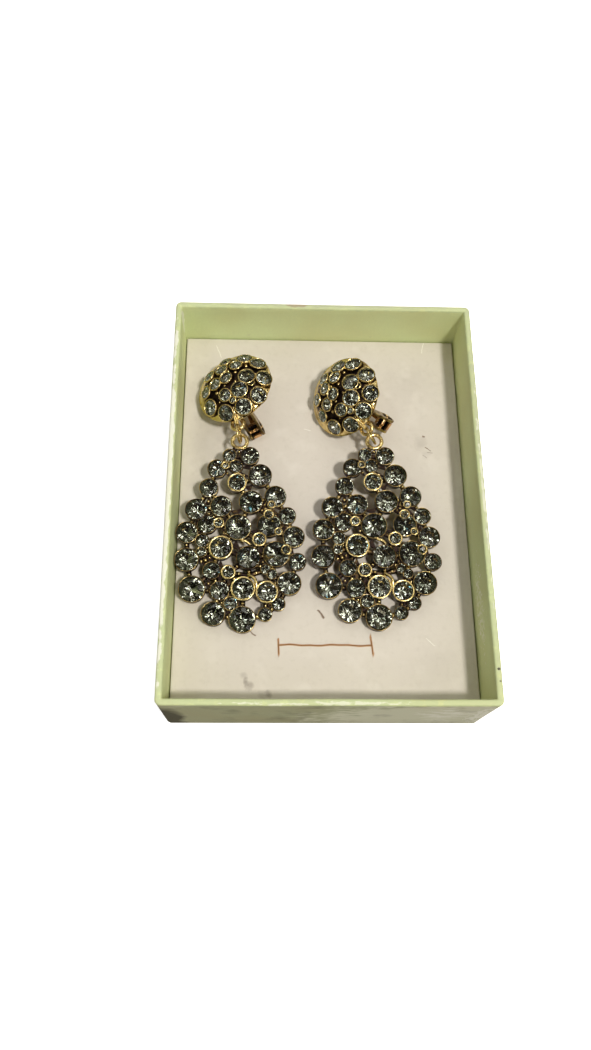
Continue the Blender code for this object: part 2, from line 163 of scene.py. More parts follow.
def away_from(tree, middle, spread):
    """How far a place is from a middle, each axis in its own spread, all in millimetres."""
    offset = vector_maths(tree, "SUBTRACT", own_place(tree), [c * MM for c in middle])
    share = vector_maths(tree, "MULTIPLY", offset, [1 / (c * MM) for c in spread])
    return vector_maths(tree, "LENGTH", share)


def paper(name, colour, scuffs, worn_and_painted_light_places, crinkles=()):
    """Matt wrapping paper: fine fibres, slow colour drift, rubbed or stained places, painted shade and
    highlights, and pale crinkles.
    """
    material, tree, shader = new_finish(name, roughness=PAPER_ROUGH)
    warm = (colour[0] * 0.94, colour[1] * 0.875, colour[2] * 0.82)
    base = mixed(tree, stepped(tree, cloud(tree, DRIFT_SCALE, 2), 0.35, 0.65), warm, colour)
    fibre = cloud(tree, FIBRE_SCALE, 4, (1, 1, 0.5))
    base = mixed(tree, stepped(tree, fibre, 0.35, 0.75, 0.0, 0.22), base, tuple(c * 0.8 for c in colour))
    if scuffs:
        rubs = maths(tree, "MULTIPLY", cloud(tree, SCUFF_SCALE, 5, (1, 1, 2.5)), cloud(tree, PATCH_SCALE, 1))
        base = mixed(tree, stepped(tree, rubs, 0.335, 0.40, 0.0, scuffs), base, SCUFF_WHITE)
    # Each place is a rub, stain or dust patch, or a patch of painted shade or painted highlight.
    for middle, spread, fullness, soft, share, tone, stretch in worn_and_painted_light_places:
        inside = stepped(tree, away_from(tree, middle, spread), 0.3, 1.0, fullness, -0.3)
        wear = maths(tree, "ADD", cloud(tree, WEAR_AND_PAINTED_LIGHT_SCALE, 6, stretch), inside)
        base = mixed(tree, stepped(tree, wear, WEAR_AND_PAINTED_LIGHT_LEVEL - soft, WEAR_AND_PAINTED_LIGHT_LEVEL + soft, 0.0, share), base, tone)
    for middle, spread, stretch in crinkles:
        crease = maths(tree, "COMPARE", cloud(tree, CRINKLE_SCALE, 4, stretch), 0.5, CRINKLE_HALF)
        inside = stepped(tree, away_from(tree, middle, spread), 0.6, 1.0, 1.0, 0.0)
        base = mixed(tree, maths(tree, "MULTIPLY", crease, inside), base, SCUFF_WHITE)
    tree.links.new(base, shader.inputs["Base Color"])
    bumped(tree, shader, fibre, 0.35, PAPER_BUMP)
    return material


def mesh_from(name, points, faces=(), edges=()):
    mesh = bpy.data.meshes.new(name)
    mesh.from_pydata([tuple(point) for point in points], edges, faces)
    return mesh


def outward(mesh, merge=0.0):
    """A closed mesh with its faces turned outwards, its doubles merged first where a distance is given."""
    shell = bmesh.new()
    shell.from_mesh(mesh)
    if merge:
        bmesh.ops.remove_doubles(shell, verts=shell.verts, dist=merge)
    bmesh.ops.recalc_face_normals(shell, faces=shell.faces)
    shell.to_mesh(mesh)
    shell.free()
    return mesh


def piece_from(name, points, faces, materials, smooth=True):
    """A piece of the scene, from a closed set of faces."""
    mesh = outward(mesh_from(name, points, faces))
    for material in materials:
        mesh.materials.append(material)
    if smooth:
        mesh.shade_smooth()
    return linked(name, mesh)


def linked(name, mesh):
    obj = bpy.data.objects.new(name, mesh)
    bpy.context.scene.collection.objects.link(obj)
    return obj


def rounded_loop(half_width, half_length, radius, height, corner_steps=6, side_steps=22):
    """Points round a rectangle with round corners, evenly along each side."""
    loop = []
    for corner, (x, y) in enumerate([(1, 1), (-1, 1), (-1, -1), (1, -1)]):
        centre = Vector((x * (half_width - radius), y * (half_length - radius), height))
        for i in range(corner_steps):
            angle = math.pi / 2 * (corner + i / corner_steps)
            loop.append(centre + Vector((radius * math.cos(angle), radius * math.sin(angle), 0)))
        angle = math.pi / 2 * (corner + 1)
        start = centre + Vector((radius * math.cos(angle), radius * math.sin(angle), 0))
        along_x, along_y = -2 * x * (half_width - radius), -2 * y * (half_length - radius)
        run = Vector((along_x, 0, 0)) if x == y else Vector((0, along_y, 0))
        loop += [start + run * (i / side_steps) for i in range(side_steps)]
    return loop


def lofted_faces(loops, count, cap_first=True, cap_last=True):
    faces = []
    for level in range(loops - 1):
        for i in range(count):
            here, after = level * count + i, level * count + (i + 1) % count
            faces.append([here, after, after + count, here + count])
    if cap_first:
        faces.append(list(range(count))[::-1])
    if cap_last:
        faces.append([(loops - 1) * count + i for i in range(count)])
    return faces


def uneven(x, y, z):
    """Smooth chance, from about -1 to 1."""
    return noise.noise(Vector((x, y, z)))


half_width, half_length, box_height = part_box("box_tray")[1]
quarter = [math.radians(angle) for angle in (0, 30, 60, 90)]
soft_edge = [(CARD_EDGE_R * (1 - math.cos(a)), CARD_EDGE_R * (1 - math.sin(a))) for a in quarter]
wall_profile = soft_edge[::-1] + [(0, box_height * share) for share in OUTER_SHARES]
outside_levels = len(wall_profile)
wall_profile += [(inset, box_height - drop) for inset, drop in soft_edge]
wall_profile += [(CARD - inset, box_height - drop) for inset, drop in soft_edge[::-1]]
wall_profile += [(CARD, box_height * share) for share in INNER_SHARES] + [(CARD, FLOOR_RISE)]
tray_points = []
for inset, height in wall_profile:
    radius = max(CARD_CORNER_R - inset, 0.35 * MM)
    for point in rounded_loop(half_width - inset, half_length - inset, radius, height):
        outwards = Vector((point.x / half_width, point.y / half_length, 0)).normalized()
        sway = uneven(point.x * 28, point.y * 28, point.z * 18) * WALL_BOW * min(1, height / BOW_FROM)
        ripple = uneven(point.x * 160, point.y * 160, 3.1) * RIM_WAVE * (height / box_height) ** 3
        tray_points.append(point - outwards * abs(sway) + Vector((0, 0, min(0, ripple * 2))))
ring = len(rounded_loop(1, 1, 0.1, 0))
card_inside = paper("pale_green_paper", INSIDE_GREEN, 0.0, (
    # Painted shade dims the rim tops all round, and more of it the right and back rims.
    ((0, 0, 30.2), (400, 400, 2.4), 0.22, 0.05, 0.55, RIM_PAINTED_SHADE, (0.7, 0.7, 0.7)),
    ((42, 8, 30.2), (1.8, 90, 1.6), 0.42, 0.15, 0.6, SHADED_OUTSIDE_GREEN, (0.5, 0.5, 0.5)),
    ((0, 57.2, 30.2), (80, 1.8, 1.6), 0.42, 0.15, 0.6, SHADED_OUTSIDE_GREEN, (0.5, 0.5, 0.5)),
    ((42, 0, 29.6), (1.2, 60, 1.2), 0.10, 0.04, 0.5, SCUFF_WHITE, (1.5, 0.5, 1)),
    ((0, -57.2, 29.6), (44, 1.2, 1.2), 0.10, 0.05, 0.5, SCUFF_WHITE, (0.8, 2.5, 1)),
    ((-7.6, 57.2, 29.6), (5.0, 1.2, 1.8), 0.35, 0.10, 0.75, RUB_BROWN, (0.9, 0.9, 0.9)),
    # The left rim is painted near white: white scuffing and a painted highlight.
    ((-42, 0, 29.8), (1.6, 80, 1.4), 0.45, 0.05, 0.8, SCUFF_WHITE, (0.7, 0.5, 0.7)),
    ((-40.8, 54.5, 24), (0.8, 2.6, 9), 0.40, 0.05, 0.6, SCUFF_WHITE, (0.7, 0.7, 0.3)),
    ((41.7, -48.5, 29.8), (0.55, 0.42, 1.5), 0.70, 0.04, 1.0, STAIN, (1, 1, 1)),
    ((41.9, -51.5, 29.8), (0.45, 0.3, 1.5), 0.70, 0.04, 0.8, STAIN, (1, 1, 1)),
    ((40.8, -30, 20), (1.5, 26, 7), 0.03, 0.04, 0.6, SCUFF_WHITE, (1.6, 1.6, 1.6))))
card_outside = paper("rubbed_and_shaded_green_paper", SHADED_OUTSIDE_GREEN, 0.25, (
    ((34, -57.6, 10), (52, 6, 30), 0.46, 0.12, 0.75, DUST, (0.5, 0.5, 1.0)),
    ((30, -57.6, 14), (9, 6, 20), 0.05, 0.03, 0.9, SCUFF_WHITE, (0.40, 1, 2.4)),
    ((40.5, -57.6, 14), (6, 6, 22), 0.10, 0.03, 1.0, SCUFF_WHITE, (2.0, 1, 0.7)),
    ((-41.5, -57.6, 8), (6, 8, 20), 0.70, 0.30, 1.1, STAIN, (0.25, 0.25, 0.25)),
    ((42.5, -45, 14), (4, 20, 14), 0.04, 0.04, 0.6, SCUFF_WHITE, (1, 1, 2.2))),
    (((30, -57.6, 17), (9, 4, 9), (0.6, 1, 1.8)), ((41, -57.6, 16), (5, 6, 12), (2.6, 1, 1.2))))
tray_faces = lofted_faces(len(wall_profile), ring)
tray = piece_from("card_tray", tray_points, tray_faces, [card_inside, card_outside])
for face in tray.data.polygons:
    if face.index // ring < outside_levels or face.index == ring * (len(wall_profile) - 1):
        face.material_index = 1
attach(tray, "root")
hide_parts("box_tray")

# The liner is a raised platform wrapped in warm cream paper. A slit near its front, with a short cut across
# each end, takes a card, and its torn brown lips stand up a little. Smudges, nicks and scratches mark it.
CREAM = (0.705, 0.655, 0.585)
CREAM_DARK = (0.58, 0.535, 0.46)
PALE_BLOTCH = (0.80, 0.755, 0.69)
TEAR_BROWN = (0.45, 0.235, 0.105)
SCRATCH_WHITE = (0.88, 0.85, 0.78)
SCRATCHES = ((-31.75, 53.3, -29.8, 48.8, 0.10), (31.6, 55.4, 30.9, 51.5, 0.12),
             (-20.9, -34.9, -18.6, -36.4, 0.10), (8.8, -24.6, 11.3, -26.3, 0.09),
             (-5.2, 25.2, -3.2, 24.5, 0.10), (27.0, -37.0, 29.5, -39.2, 0.09))
NICK_BROWN = (0.22, 0.15, 0.10)
NICKS = ((-1.9, -29.3, -0.1, -31.9, 0.26), (-20.6, -35.0, -18.4, -36.8, 0.16),
         (29.5, 23.35, 30.3, 23.15, 0.26), (30.0, 19.8, 31.9, 18.6, 0.09),
         (30.6, 18.2, 32.3, 17.9, 0.08), (29.2, 17.2, 30.4, 16.2, 0.08))
SMUDGE_GREY = (0.33, 0.285, 0.25)
SLIT_Y = -39.15 * MM
SLIT_HALF_WIDTH = 0.06 * MM
SLIT_DEEP = 3.5 * MM
TICKS = ((-12.4 * MM, 0.15 * MM, 1.6 * MM, -2.3 * MM), (12.45 * MM, 0.55 * MM, 2.2 * MM, -2.3 * MM))
LIP_RISE = 0.20 * MM
LIP_REACH = 0.45 * MM
LINER_WAVE = 0.10 * MM
LINER_EDGE_R = 0.5 * MM
TEAR_REACH = 0.34 * MM
GRID_STEP = 2 * MM
FLECK_SCALE = 700
BLOTCH_SCALE = 170
LINER_ROUGH = 0.8
LINER_BUMP = 0.08 * MM
LINE_SWAY = 0.2 * MM
SMUDGES = ((-20.9, -49.0, 1.0, 0.8), (-19.7, -49.8, 1.4, 0.6), (-21.6, -47.2, 1.1, 0.35),
           (-14.9, -52.3, 1.2, 0.75), (-16.4, -52.8, 1.8, 0.3), (29.2, 20.8, 2.4, 0.25),
           (30.4, 17.4, 1.6, 0.25), (-35.0, 20.0, 7.0, 0.12), (26.0, 40.0, 9.0, 0.10),
           (31.0, -44.0, 8.0, 0.08))


def slit_line(x):
    return SLIT_Y + 0.12 * MM * math.sin(x / (2.1 * MM)) + 0.06 * MM * math.sin(x / (0.83 * MM))


def slit_distance(x, y):
    """How far a point of the liner's top is from the slit or its end cuts."""
    aside = max(TICKS[0][0] - x, 0, x - TICKS[1][0])
    nearest = math.hypot(aside, y - slit_line(x))
    for tick_x, slant, up, down in TICKS:
        along = min(max(y - SLIT_Y, down), up)
        nearest = min(nearest, math.hypot(x - tick_x + slant * along / (up - down), y - SLIT_Y - along))
    return nearest


def grid_lines(end, step, close_lines):
    """Places from -end to end, a step apart, with the close lines among them in place of their neighbours."""
    count = round(2 * end / step)
    even = [-end + 2 * end * i / count for i in range(count + 1)]
    kept = [place for place in even if all(abs(place - line) > 0.45 * step for line in close_lines)]
    return sorted({*kept, *close_lines, -end, end})


def onto_slit(x, y):
    """A grid point moved so that the lines beside the slit and its end cuts follow their waves and slants."""
    for tick_x, slant, up, down in TICKS:
        aside, along = x - tick_x, min(max(y - SLIT_Y, down), up)
        if abs(aside) < 2 * MM and down <= y - SLIT_Y <= up:
            taper = min(1, 0.15 + 3 * min(up - along, along - down) / (up - down))
            narrow = taper if abs(aside) < 1.5 * SLIT_HALF_WIDTH else 1
            return tick_x + aside * narrow - slant * along / (up - down) * (1 - abs(aside) / (2 * MM)), y
    rise = y - SLIT_Y
    if TICKS[0][0] < x < TICKS[1][0] and abs(rise) < 2 * MM:
        return x, y + (slit_line(x) - SLIT_Y) * (1 - abs(rise) / (2 * MM))
    return x, y


liner_low, liner_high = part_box("box_liner")
flat_x, flat_y = liner_high.x - LINER_EDGE_R, liner_high.y - LINER_EDGE_R
edge_shares = [LINER_EDGE_R * math.sin(math.radians(angle)) for angle in (30, 60, 90)]
beside = [side * share * MM for side in (-1, 1) for share in (0.06, 0.17, 0.3, 0.5, 0.8, 1.3)]
close_across = [tick_x + place for tick_x, *_ in TICKS for place in beside]
close_across += [TICKS[0][0] + 1.7 * MM + i * (TICKS[1][0] - TICKS[0][0] - 3.4 * MM) / 56 for i in range(57)]
close_along = [SLIT_Y + place for place in beside] + [SLIT_Y + tick[k] for tick in TICKS for k in (2, 3)]
across = grid_lines(flat_x, GRID_STEP, close_across)
along = grid_lines(flat_y, GRID_STEP, close_along)
across = [-flat_x - share for share in edge_shares[::-1]] + across + [flat_x + share for share in edge_shares]
along = [-flat_y - share for share in edge_shares[::-1]] + along + [flat_y + share for share in edge_shares]
top_points = []
for grid_y in along:
    for grid_x in across:
        x, y = onto_slit(grid_x, grid_y)
        over = math.hypot(max(abs(x) - flat_x, 0), max(abs(y) - flat_y, 0))
        drop = LINER_EDGE_R - math.sqrt(max(LINER_EDGE_R**2 - min(over, LINER_EDGE_R) ** 2, 0))
        wave = uneven(x * 55, y * 55, 1.7) + 0.4 * uneven(x * 210, y * 210, 5.2)
        torn = 0.8 + uneven(x * 900, y * 900, 0)
        lip = LIP_RISE * math.exp(-(slit_distance(x, y) / LIP_REACH) ** 2) * torn
        top_points.append(Vector((x, y, liner_high.z - drop - abs(wave) * LINER_WAVE + lip)))
columns, rows = len(across), len(along)
liner_faces, slit_faces = [], []
for j in range(rows - 1):
    for i in range(columns - 1):
        x, y = (across[i] + across[i + 1]) / 2, (along[j] + along[j + 1]) / 2 - SLIT_Y
        between = TICKS[0][0] < x < TICKS[1][0] and abs(y) < SLIT_HALF_WIDTH
        ticked = any(abs(x - tick_x) < SLIT_HALF_WIDTH and down < y < up for tick_x, _, up, down in TICKS)
        if between or ticked:
            slit_faces.append(len(liner_faces))
        corner = j * columns + i
        liner_faces.append([corner, corner + 1, corner + columns + 1, corner + columns])
border = list(range(columns)) + [j * columns + columns - 1 for j in range(1, rows)]
border += [(rows - 1) * columns + i for i in range(columns - 2, -1, -1)]
border += [j * columns for j in range(rows - 2, 0, -1)]
foot = len(top_points)
top_points += [Vector((top_points[i].x, top_points[i].y, liner_low.z)) for i in border]
for k in range(len(border)):
    after = (k + 1) % len(border)
    liner_faces.append([border[after], border[k], foot + k, foot + after])
liner_faces.append([foot + k for k in range(len(border))][::-1])

liner_paper, tree, shader = new_finish("cream_liner_paper", roughness=LINER_ROUGH)
tone = mixed(tree, stepped(tree, cloud(tree, 60, 3), 0.3, 0.7), tuple(c * 0.965 for c in CREAM), CREAM)
fleck = cloud(tree, FLECK_SCALE, 3)
tone = mixed(tree, stepped(tree, fleck, 0.52, 0.75, 0.0, 0.28), tone, CREAM_DARK)
place = own_place(tree)
ragged = stepped(tree, cloud(tree, 420, 3), 0.3, 0.7, 0.55, 1.45)
for x, y, spread, strength in SMUDGES:
    away = vector_maths(tree, "DISTANCE", place, (x * MM, y * MM, liner_high.z))
    away = maths(tree, "MULTIPLY", away, ragged)
    tone = mixed(tree, stepped(tree, away, 0.25 * spread * MM, spread * MM, strength, 0), tone, SMUDGE_GREY)


def near_line(start_x, start_y, end_x, end_y, half):
    """One close to a line drawn on the liner's top, none away from it."""
    start, run = Vector((start_x, start_y, 0)) * MM, Vector((end_x - start_x, end_y - start_y, 0)) * MM
    offset = vector_maths(tree, "SUBTRACT", place, start + run / 2)
    across = vector_maths(tree, "DOT_PRODUCT", offset, Vector((-run.y, run.x, 0)).normalized())
    along = vector_maths(tree, "DOT_PRODUCT", offset, run.normalized())
    bow = maths(tree, "ADD", stepped(tree, cloud(tree, 500, 2), 0.3, 0.7, -LINE_SWAY, LINE_SWAY), across)
    thin = stepped(tree, maths(tree, "ABSOLUTE", bow), 0.5 * half * MM, 1.5 * half * MM, 1, 0)
    short = stepped(tree, maths(tree, "ABSOLUTE", along), 0.42 * run.length, 0.5 * run.length, 1, 0)
    return maths(tree, "MULTIPLY", thin, short)


for scratch in SCRATCHES:
    tone = mixed(tree, near_line(*scratch), tone, SCRATCH_WHITE)
for nick in NICKS:
    tone = mixed(tree, near_line(*nick), tone, NICK_BROWN)
tone = mixed(tree, stepped(tree, cloud(tree, BLOTCH_SCALE, 2), 0.55, 0.72, 0.0, 0.35), tone, PALE_BLOTCH)
tear = add_node(tree, "ShaderNodeAttribute", attribute_name="tear").outputs["Fac"]
tone = mixed(tree, stepped(tree, tear, 0.3, 0.75), tone, TEAR_BROWN)
tree.links.new(tone, shader.inputs["Base Color"])
bumped(tree, shader, maths(tree, "ADD", fleck, cloud(tree, 2300, 2)), 0.3, LINER_BUMP)
torn_edge, tree, shader = new_finish("torn_brown_edge", roughness=0.9)
tree.links.new(mixed(tree, cloud(tree, 2500, 3), TEAR_BROWN, (0.20, 0.11, 0.06)), shader.inputs["Base Color"])

liner = piece_from("cream_liner", top_points, liner_faces, [liner_paper, torn_edge], smooth=False)
shell = bmesh.new()
shell.from_mesh(liner.data)
shell.faces.ensure_lookup_table()
over_slit = [shell.faces[index] for index in slit_faces]
sunk = bmesh.ops.extrude_face_region(shell, geom=over_slit)
floor_points = [item for item in sunk["geom"] if isinstance(item, bmesh.types.BMVert)]
for point in floor_points:
    point.co.z = liner_high.z - SLIT_DEEP
    for face in point.link_faces:
        face.material_index = 1
bmesh.ops.delete(shell, geom=[face for face in over_slit if face.is_valid], context="FACES")
bmesh.ops.recalc_face_normals(shell, faces=shell.faces)
shell.to_mesh(liner.data)
shell.free()
liner.data.shade_smooth()
liner.data.set_sharp_from_angle(angle=math.radians(35))
tear = liner.data.attributes.new("tear", "FLOAT", "POINT")
for vertex in liner.data.vertices:
    near = slit_distance(vertex.co.x, vertex.co.y) if vertex.co.z > liner_high.z - MM else 9 * MM
    tear.data[vertex.index].value = math.exp(-(near / TEAR_REACH) ** 2)
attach(liner, "root")
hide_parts("box_liner")

# The metal is cast pewter plated in gold and antiqued: the high rims are rubbed bright and the recesses keep
# a dark brown oxide. A vertex attribute called wear says how much a place is rubbed.
# On the clip's pin the wear also carries painted shade, and on its leaf spring a painted highlight.
GOLD_BRIGHT = (0.83, 0.65, 0.29)
GOLD_DEEP = (0.40, 0.265, 0.09)
OXIDE = (0.031, 0.020, 0.017)
COPPER_BRIGHT = (0.88, 0.56, 0.27)
COPPER_DEEP = (0.46, 0.22, 0.09)
LUCK_SHARE = 0.3
PATINA_SCALE = 620
METAL_BUMP = 0.04 * MM


def antiqued(name, bright, deep):
    """Metal that goes from dark oxide through its deep tone to bright where it is rubbed."""
    material, tree, shader = new_finish(name, metallic=1.0)
    wear = add_node(tree, "ShaderNodeAttribute", attribute_name="wear").outputs["Fac"]
    luck = add_node(tree, "ShaderNodeAttribute", attribute_name="stone_tone").outputs["Fac"]
    patina = stepped(tree, cloud(tree, PATINA_SCALE, 5), 0.3, 0.7, -0.40, 0.26)
    worn = maths(tree, "MULTIPLY_ADD", luck, LUCK_SHARE, maths(tree, "ADD", wear, patina))
    rub = stepped(tree, worn, 0.15, 0.75)
    metal = mixed(tree, stepped(tree, worn, 0.45, 1.0), deep, bright)
    tree.links.new(mixed(tree, rub, OXIDE, metal), shader.inputs["Base Color"])
    tree.links.new(stepped(tree, rub, 0, 1, 0.42, 0.25), shader.inputs["Roughness"])
    bumped(tree, shader, cloud(tree, 2600, 3), 0.25, METAL_BUMP)
    return material


antique_gold = antiqued("antiqued_gold", GOLD_BRIGHT, GOLD_DEEP)
coppery_gold = antiqued("coppery_gold", COPPER_BRIGHT, COPPER_DEEP)

# The stones are smoky grey-green glass, cut as round brilliants and foiled behind. A stone is one closed
# solid: a clear crown of table, star, kite and girdle facets over a pavilion whose facets carry the foil.
GLASS_SMOKE = (0.66, 0.665, 0.58)
GLASS_PALE = (0.93, 0.93, 0.85)
CUT_SIDES = 11
FOIL_TONES = ((0.0, (0.34, 0.36, 0.33)), (0.25, (0.58, 0.60, 0.57)), (0.55, (0.76, 0.78, 0.75)),
              (0.80, (0.92, 0.93, 0.90)))
FLASH_BLUE = (0.25, 0.50, 0.66)
BLUE_FROM = 0.992
GLASS_ROUGH = 0.015
GLASS_IOR = 1.56
FOIL_ROUGH = 0.07
CROWN_SHARE = 0.26
TABLE_SHARE = 0.56
STAR_SHARE = 0.77
PAVILION_SHARE = 0.84
LOWER_SHARE = 0.40
UNEVEN = 0.022

crystal_glass, tree, shader = new_finish("smoky_crystal", roughness=GLASS_ROUGH)
stone_tone = add_node(tree, "ShaderNodeAttribute", attribute_name="stone_tone").outputs["Fac"]
tree.links.new(mixed(tree, stone_tone, GLASS_SMOKE, GLASS_PALE), shader.inputs["Base Color"])
shader.inputs["Transmission Weight"].default_value = 1.0
shader.inputs["IOR"].default_value = GLASS_IOR

crystal_foil, tree, shader = new_finish("crystal_foil", metallic=1.0, roughness=FOIL_ROUGH)
facet_tone = add_node(tree, "ShaderNodeAttribute", attribute_name="facet_tone").outputs["Fac"]
ramp = add_node(tree, "ShaderNodeValToRGB", {"Fac": facet_tone})
ramp.color_ramp.interpolation = "CONSTANT"
while len(ramp.color_ramp.elements) < len(FOIL_TONES):
    ramp.color_ramp.elements.new(0.5)
for stop, (position, colour) in zip(ramp.color_ramp.elements, FOIL_TONES):
    stop.position = position
    stop.color = (*colour, 1)
blue = maths(tree, "GREATER_THAN", facet_tone, BLUE_FROM)
tree.links.new(mixed(tree, blue, ramp.outputs["Color"], FLASH_BLUE), shader.inputs["Base Color"])


def marked(mesh, name, values, domain="POINT"):
    """Stores a number for each point or face of a mesh."""
    mesh.attributes.new(name, "FLOAT", domain).data.foreach_set("value", values)
    return mesh


def brilliant(radius, height):
    """A round brilliant whose girdle lies at the given height, with its foiled facets marked inner."""
    def ring(share, z, half_turn):
        angles = [2 * math.pi * (i + half_turn / 2) / CUT_SIDES for i in range(CUT_SIDES)]
        return [Vector((radius * share * math.cos(a), radius * share * math.sin(a), z)) for a in angles]

    crown, pavilion = radius * CROWN_SHARE, radius * PAVILION_SHARE
    points = ring(TABLE_SHARE, height + crown, False) + ring(STAR_SHARE, height + crown * 0.62, True)
    points += ring(1, height, False) + ring(1, height, True)
    cutter = random.Random(round(radius / MM * 100))
    for point in ring(LOWER_SHARE, height - pavilion * (1 - LOWER_SHARE) * 1.03, True):
        points.append(point + Vector([cutter.uniform(-UNEVEN, UNEVEN) * radius for _ in range(3)]))
    points.append(Vector((0.01 * radius, 0.02 * radius, height - pavilion)))
    table, star, kite, half, lower, culet = [CUT_SIDES * k for k in range(6)]
    faces = [[table + i for i in range(CUT_SIDES)]]
    inner = [0]
    for i in range(CUT_SIDES):
        n = (i + 1) % CUT_SIDES
        crown_faces = [[table + i, star + i, table + n], [table + n, star + i, kite + n, star + n],
                       [star + i, kite + i, half + i], [star + i, half + i, kite + n]]
        below = [[lower + i, half + i, kite + i], [lower + i, kite + n, half + i],
                 [culet, lower + i, kite + i, lower + (i - 1) % CUT_SIDES]]
        faces += crown_faces + below
        inner += [0] * 4 + [1] * 3
    return outward(marked(mesh_from("brilliant", points, faces), "inner", inner, "FACE"))


def lathed(profile, sides):
    """A turned shell from (radius, height, wear) places; a first or last radius of 0 closes it at a point."""
    points, wears, faces, rings = [], [], [], []
    for radius, height, worn in profile:
        if radius == 0:
            rings.append([len(points)] * sides)
            points.append((0, 0, height))
            wears.append(worn)
            continue
        rings.append([len(points) + i for i in range(sides)])
        for i in range(sides):
            angle = 2 * math.pi * i / sides
            points.append((radius * math.cos(angle), radius * math.sin(angle), height))
            wears.append(worn)
    for lower, upper in zip(rings, rings[1:]):
        for i in range(sides):
            n = (i + 1) % sides
            faces.append(list(dict.fromkeys([lower[i], lower[n], upper[n], upper[i]])))
    mesh = marked(outward(mesh_from("lathed", points, faces)), "wear", wears)
    mesh.shade_smooth()
    mesh.set_sharp_from_angle(angle=math.radians(50))
    return mesh


def new_tree(name, inputs):
    """A geometry tree with its inputs, and the sockets to start from and to end at."""
    tree = bpy.data.node_groups.new(name, "GeometryNodeTree")
    tree.interface.new_socket("Result", in_out="OUTPUT", socket_type="NodeSocketGeometry")
    for label, kind in inputs:
        tree.interface.new_socket(label, in_out="INPUT", socket_type="NodeSocket" + kind)
    return tree, tree.nodes.new("NodeGroupInput").outputs, tree.nodes.new("NodeGroupOutput").inputs["Result"]


def made_plain(holder):
    """The mesh that a working object comes to. The object is removed."""
    mesh = bpy.data.meshes.new_from_object(holder.evaluated_get(bpy.context.evaluated_depsgraph_get()))
    bpy.data.objects.remove(holder)
    return mesh


def grown(tree, mesh, values):
    """The plain mesh that a geometry tree makes from a mesh, with its inputs given by name."""
    holder = linked("holder", mesh)
    modifier = holder.modifiers.new("tree", "NODES")
    modifier.node_group = tree
    for item in tree.interface.items_tree:
        if item.in_out == "INPUT" and item.name in values:
            modifier[item.identifier] = values[item.name]
    return made_plain(holder)


def named(tree, name, kind="FLOAT"):
    kept = add_node(tree, "GeometryNodeInputNamedAttribute", {"Name": name}, data_type=kind)
    return kept.outputs["Attribute"]


def stored(tree, geometry, name, value, domain):
    """The geometry with a number on each of its points, faces or instances."""
    inputs = {"Geometry": geometry, "Name": name, "Value": value}
    kept = add_node(tree, "GeometryNodeStoreNamedAttribute", inputs, data_type="FLOAT", domain=domain)
    return kept.outputs["Geometry"]


def by_chance(tree, seed):
    return add_node(tree, "FunctionNodeRandomValue", {"Seed": seed}, data_type="FLOAT").outputs[1]


def coated(tree, geometry, finish, chosen=True):
    """The geometry in a material, where it is chosen."""
    inputs = {"Geometry": geometry, "Material": finish, "Selection": chosen}
    return add_node(tree, "GeometryNodeSetMaterial", inputs).outputs["Geometry"]


# Every stone sits in its own bezel cup. One geometry tree sets cups or stones on the places of a chart,
# gives each its own spin and a slight lean, and each facet its own tone; another runs the struts.
setting_tree, given, result = new_tree("stones_on_places", [
    ("Places", "Geometry"), ("Pieces", "Collection"), ("Seed", "Int"), ("Lean", "Float"),
    ("Finish", "Material"), ("Inner finish", "Material")])
pieces = add_node(setting_tree, "GeometryNodeCollectionInfo",
                  {"Collection": given["Pieces"], "Separate Children": True, "Reset Children": True})
seed = given["Seed"]
way_up = named(setting_tree, "turn", "FLOAT_VECTOR")
facing = add_node(setting_tree, "FunctionNodeEulerToRotation", {"Euler": way_up})
placed = add_node(setting_tree, "GeometryNodeInstanceOnPoints", {
    "Points": given["Places"], "Instance": pieces.outputs["Instances"], "Pick Instance": True,
    "Instance Index": named(setting_tree, "kind", "INT"), "Rotation": facing.outputs["Rotation"]})
most = add_node(setting_tree, "ShaderNodeCombineXYZ", {"X": given["Lean"], "Y": given["Lean"], "Z": math.pi})
least = vector_maths(setting_tree, "MULTIPLY", most.outputs[0], (-1, -1, -1))
spin = add_node(setting_tree, "FunctionNodeRandomValue", {"Min": least, "Max": most.outputs[0], "Seed": seed},
                data_type="FLOAT_VECTOR")
spin_turn = add_node(setting_tree, "FunctionNodeEulerToRotation", {"Euler": spin.outputs["Value"]})
spun = add_node(setting_tree, "GeometryNodeRotateInstances", {
    "Instances": placed.outputs["Instances"], "Rotation": spin_turn.outputs["Rotation"],
    "Local Space": True}).outputs["Instances"]
toned = stored(setting_tree, spun, "stone_tone", by_chance(setting_tree, seed), "INSTANCE")
real = add_node(setting_tree, "GeometryNodeRealizeInstances", {"Geometry": toned}).outputs["Geometry"]
faceted = stored(setting_tree, real, "facet_tone", by_chance(setting_tree, seed), "FACE")
foiled = add_node(setting_tree, "FunctionNodeCompare", {"A": named(setting_tree, "inner"), "B": 0.5},
                  data_type="FLOAT", operation="GREATER_THAN")
outside = coated(setting_tree, faceted, given["Finish"])
inside = coated(setting_tree, outside, given["Inner finish"], foiled.outputs["Result"])
setting_tree.links.new(inside, result)

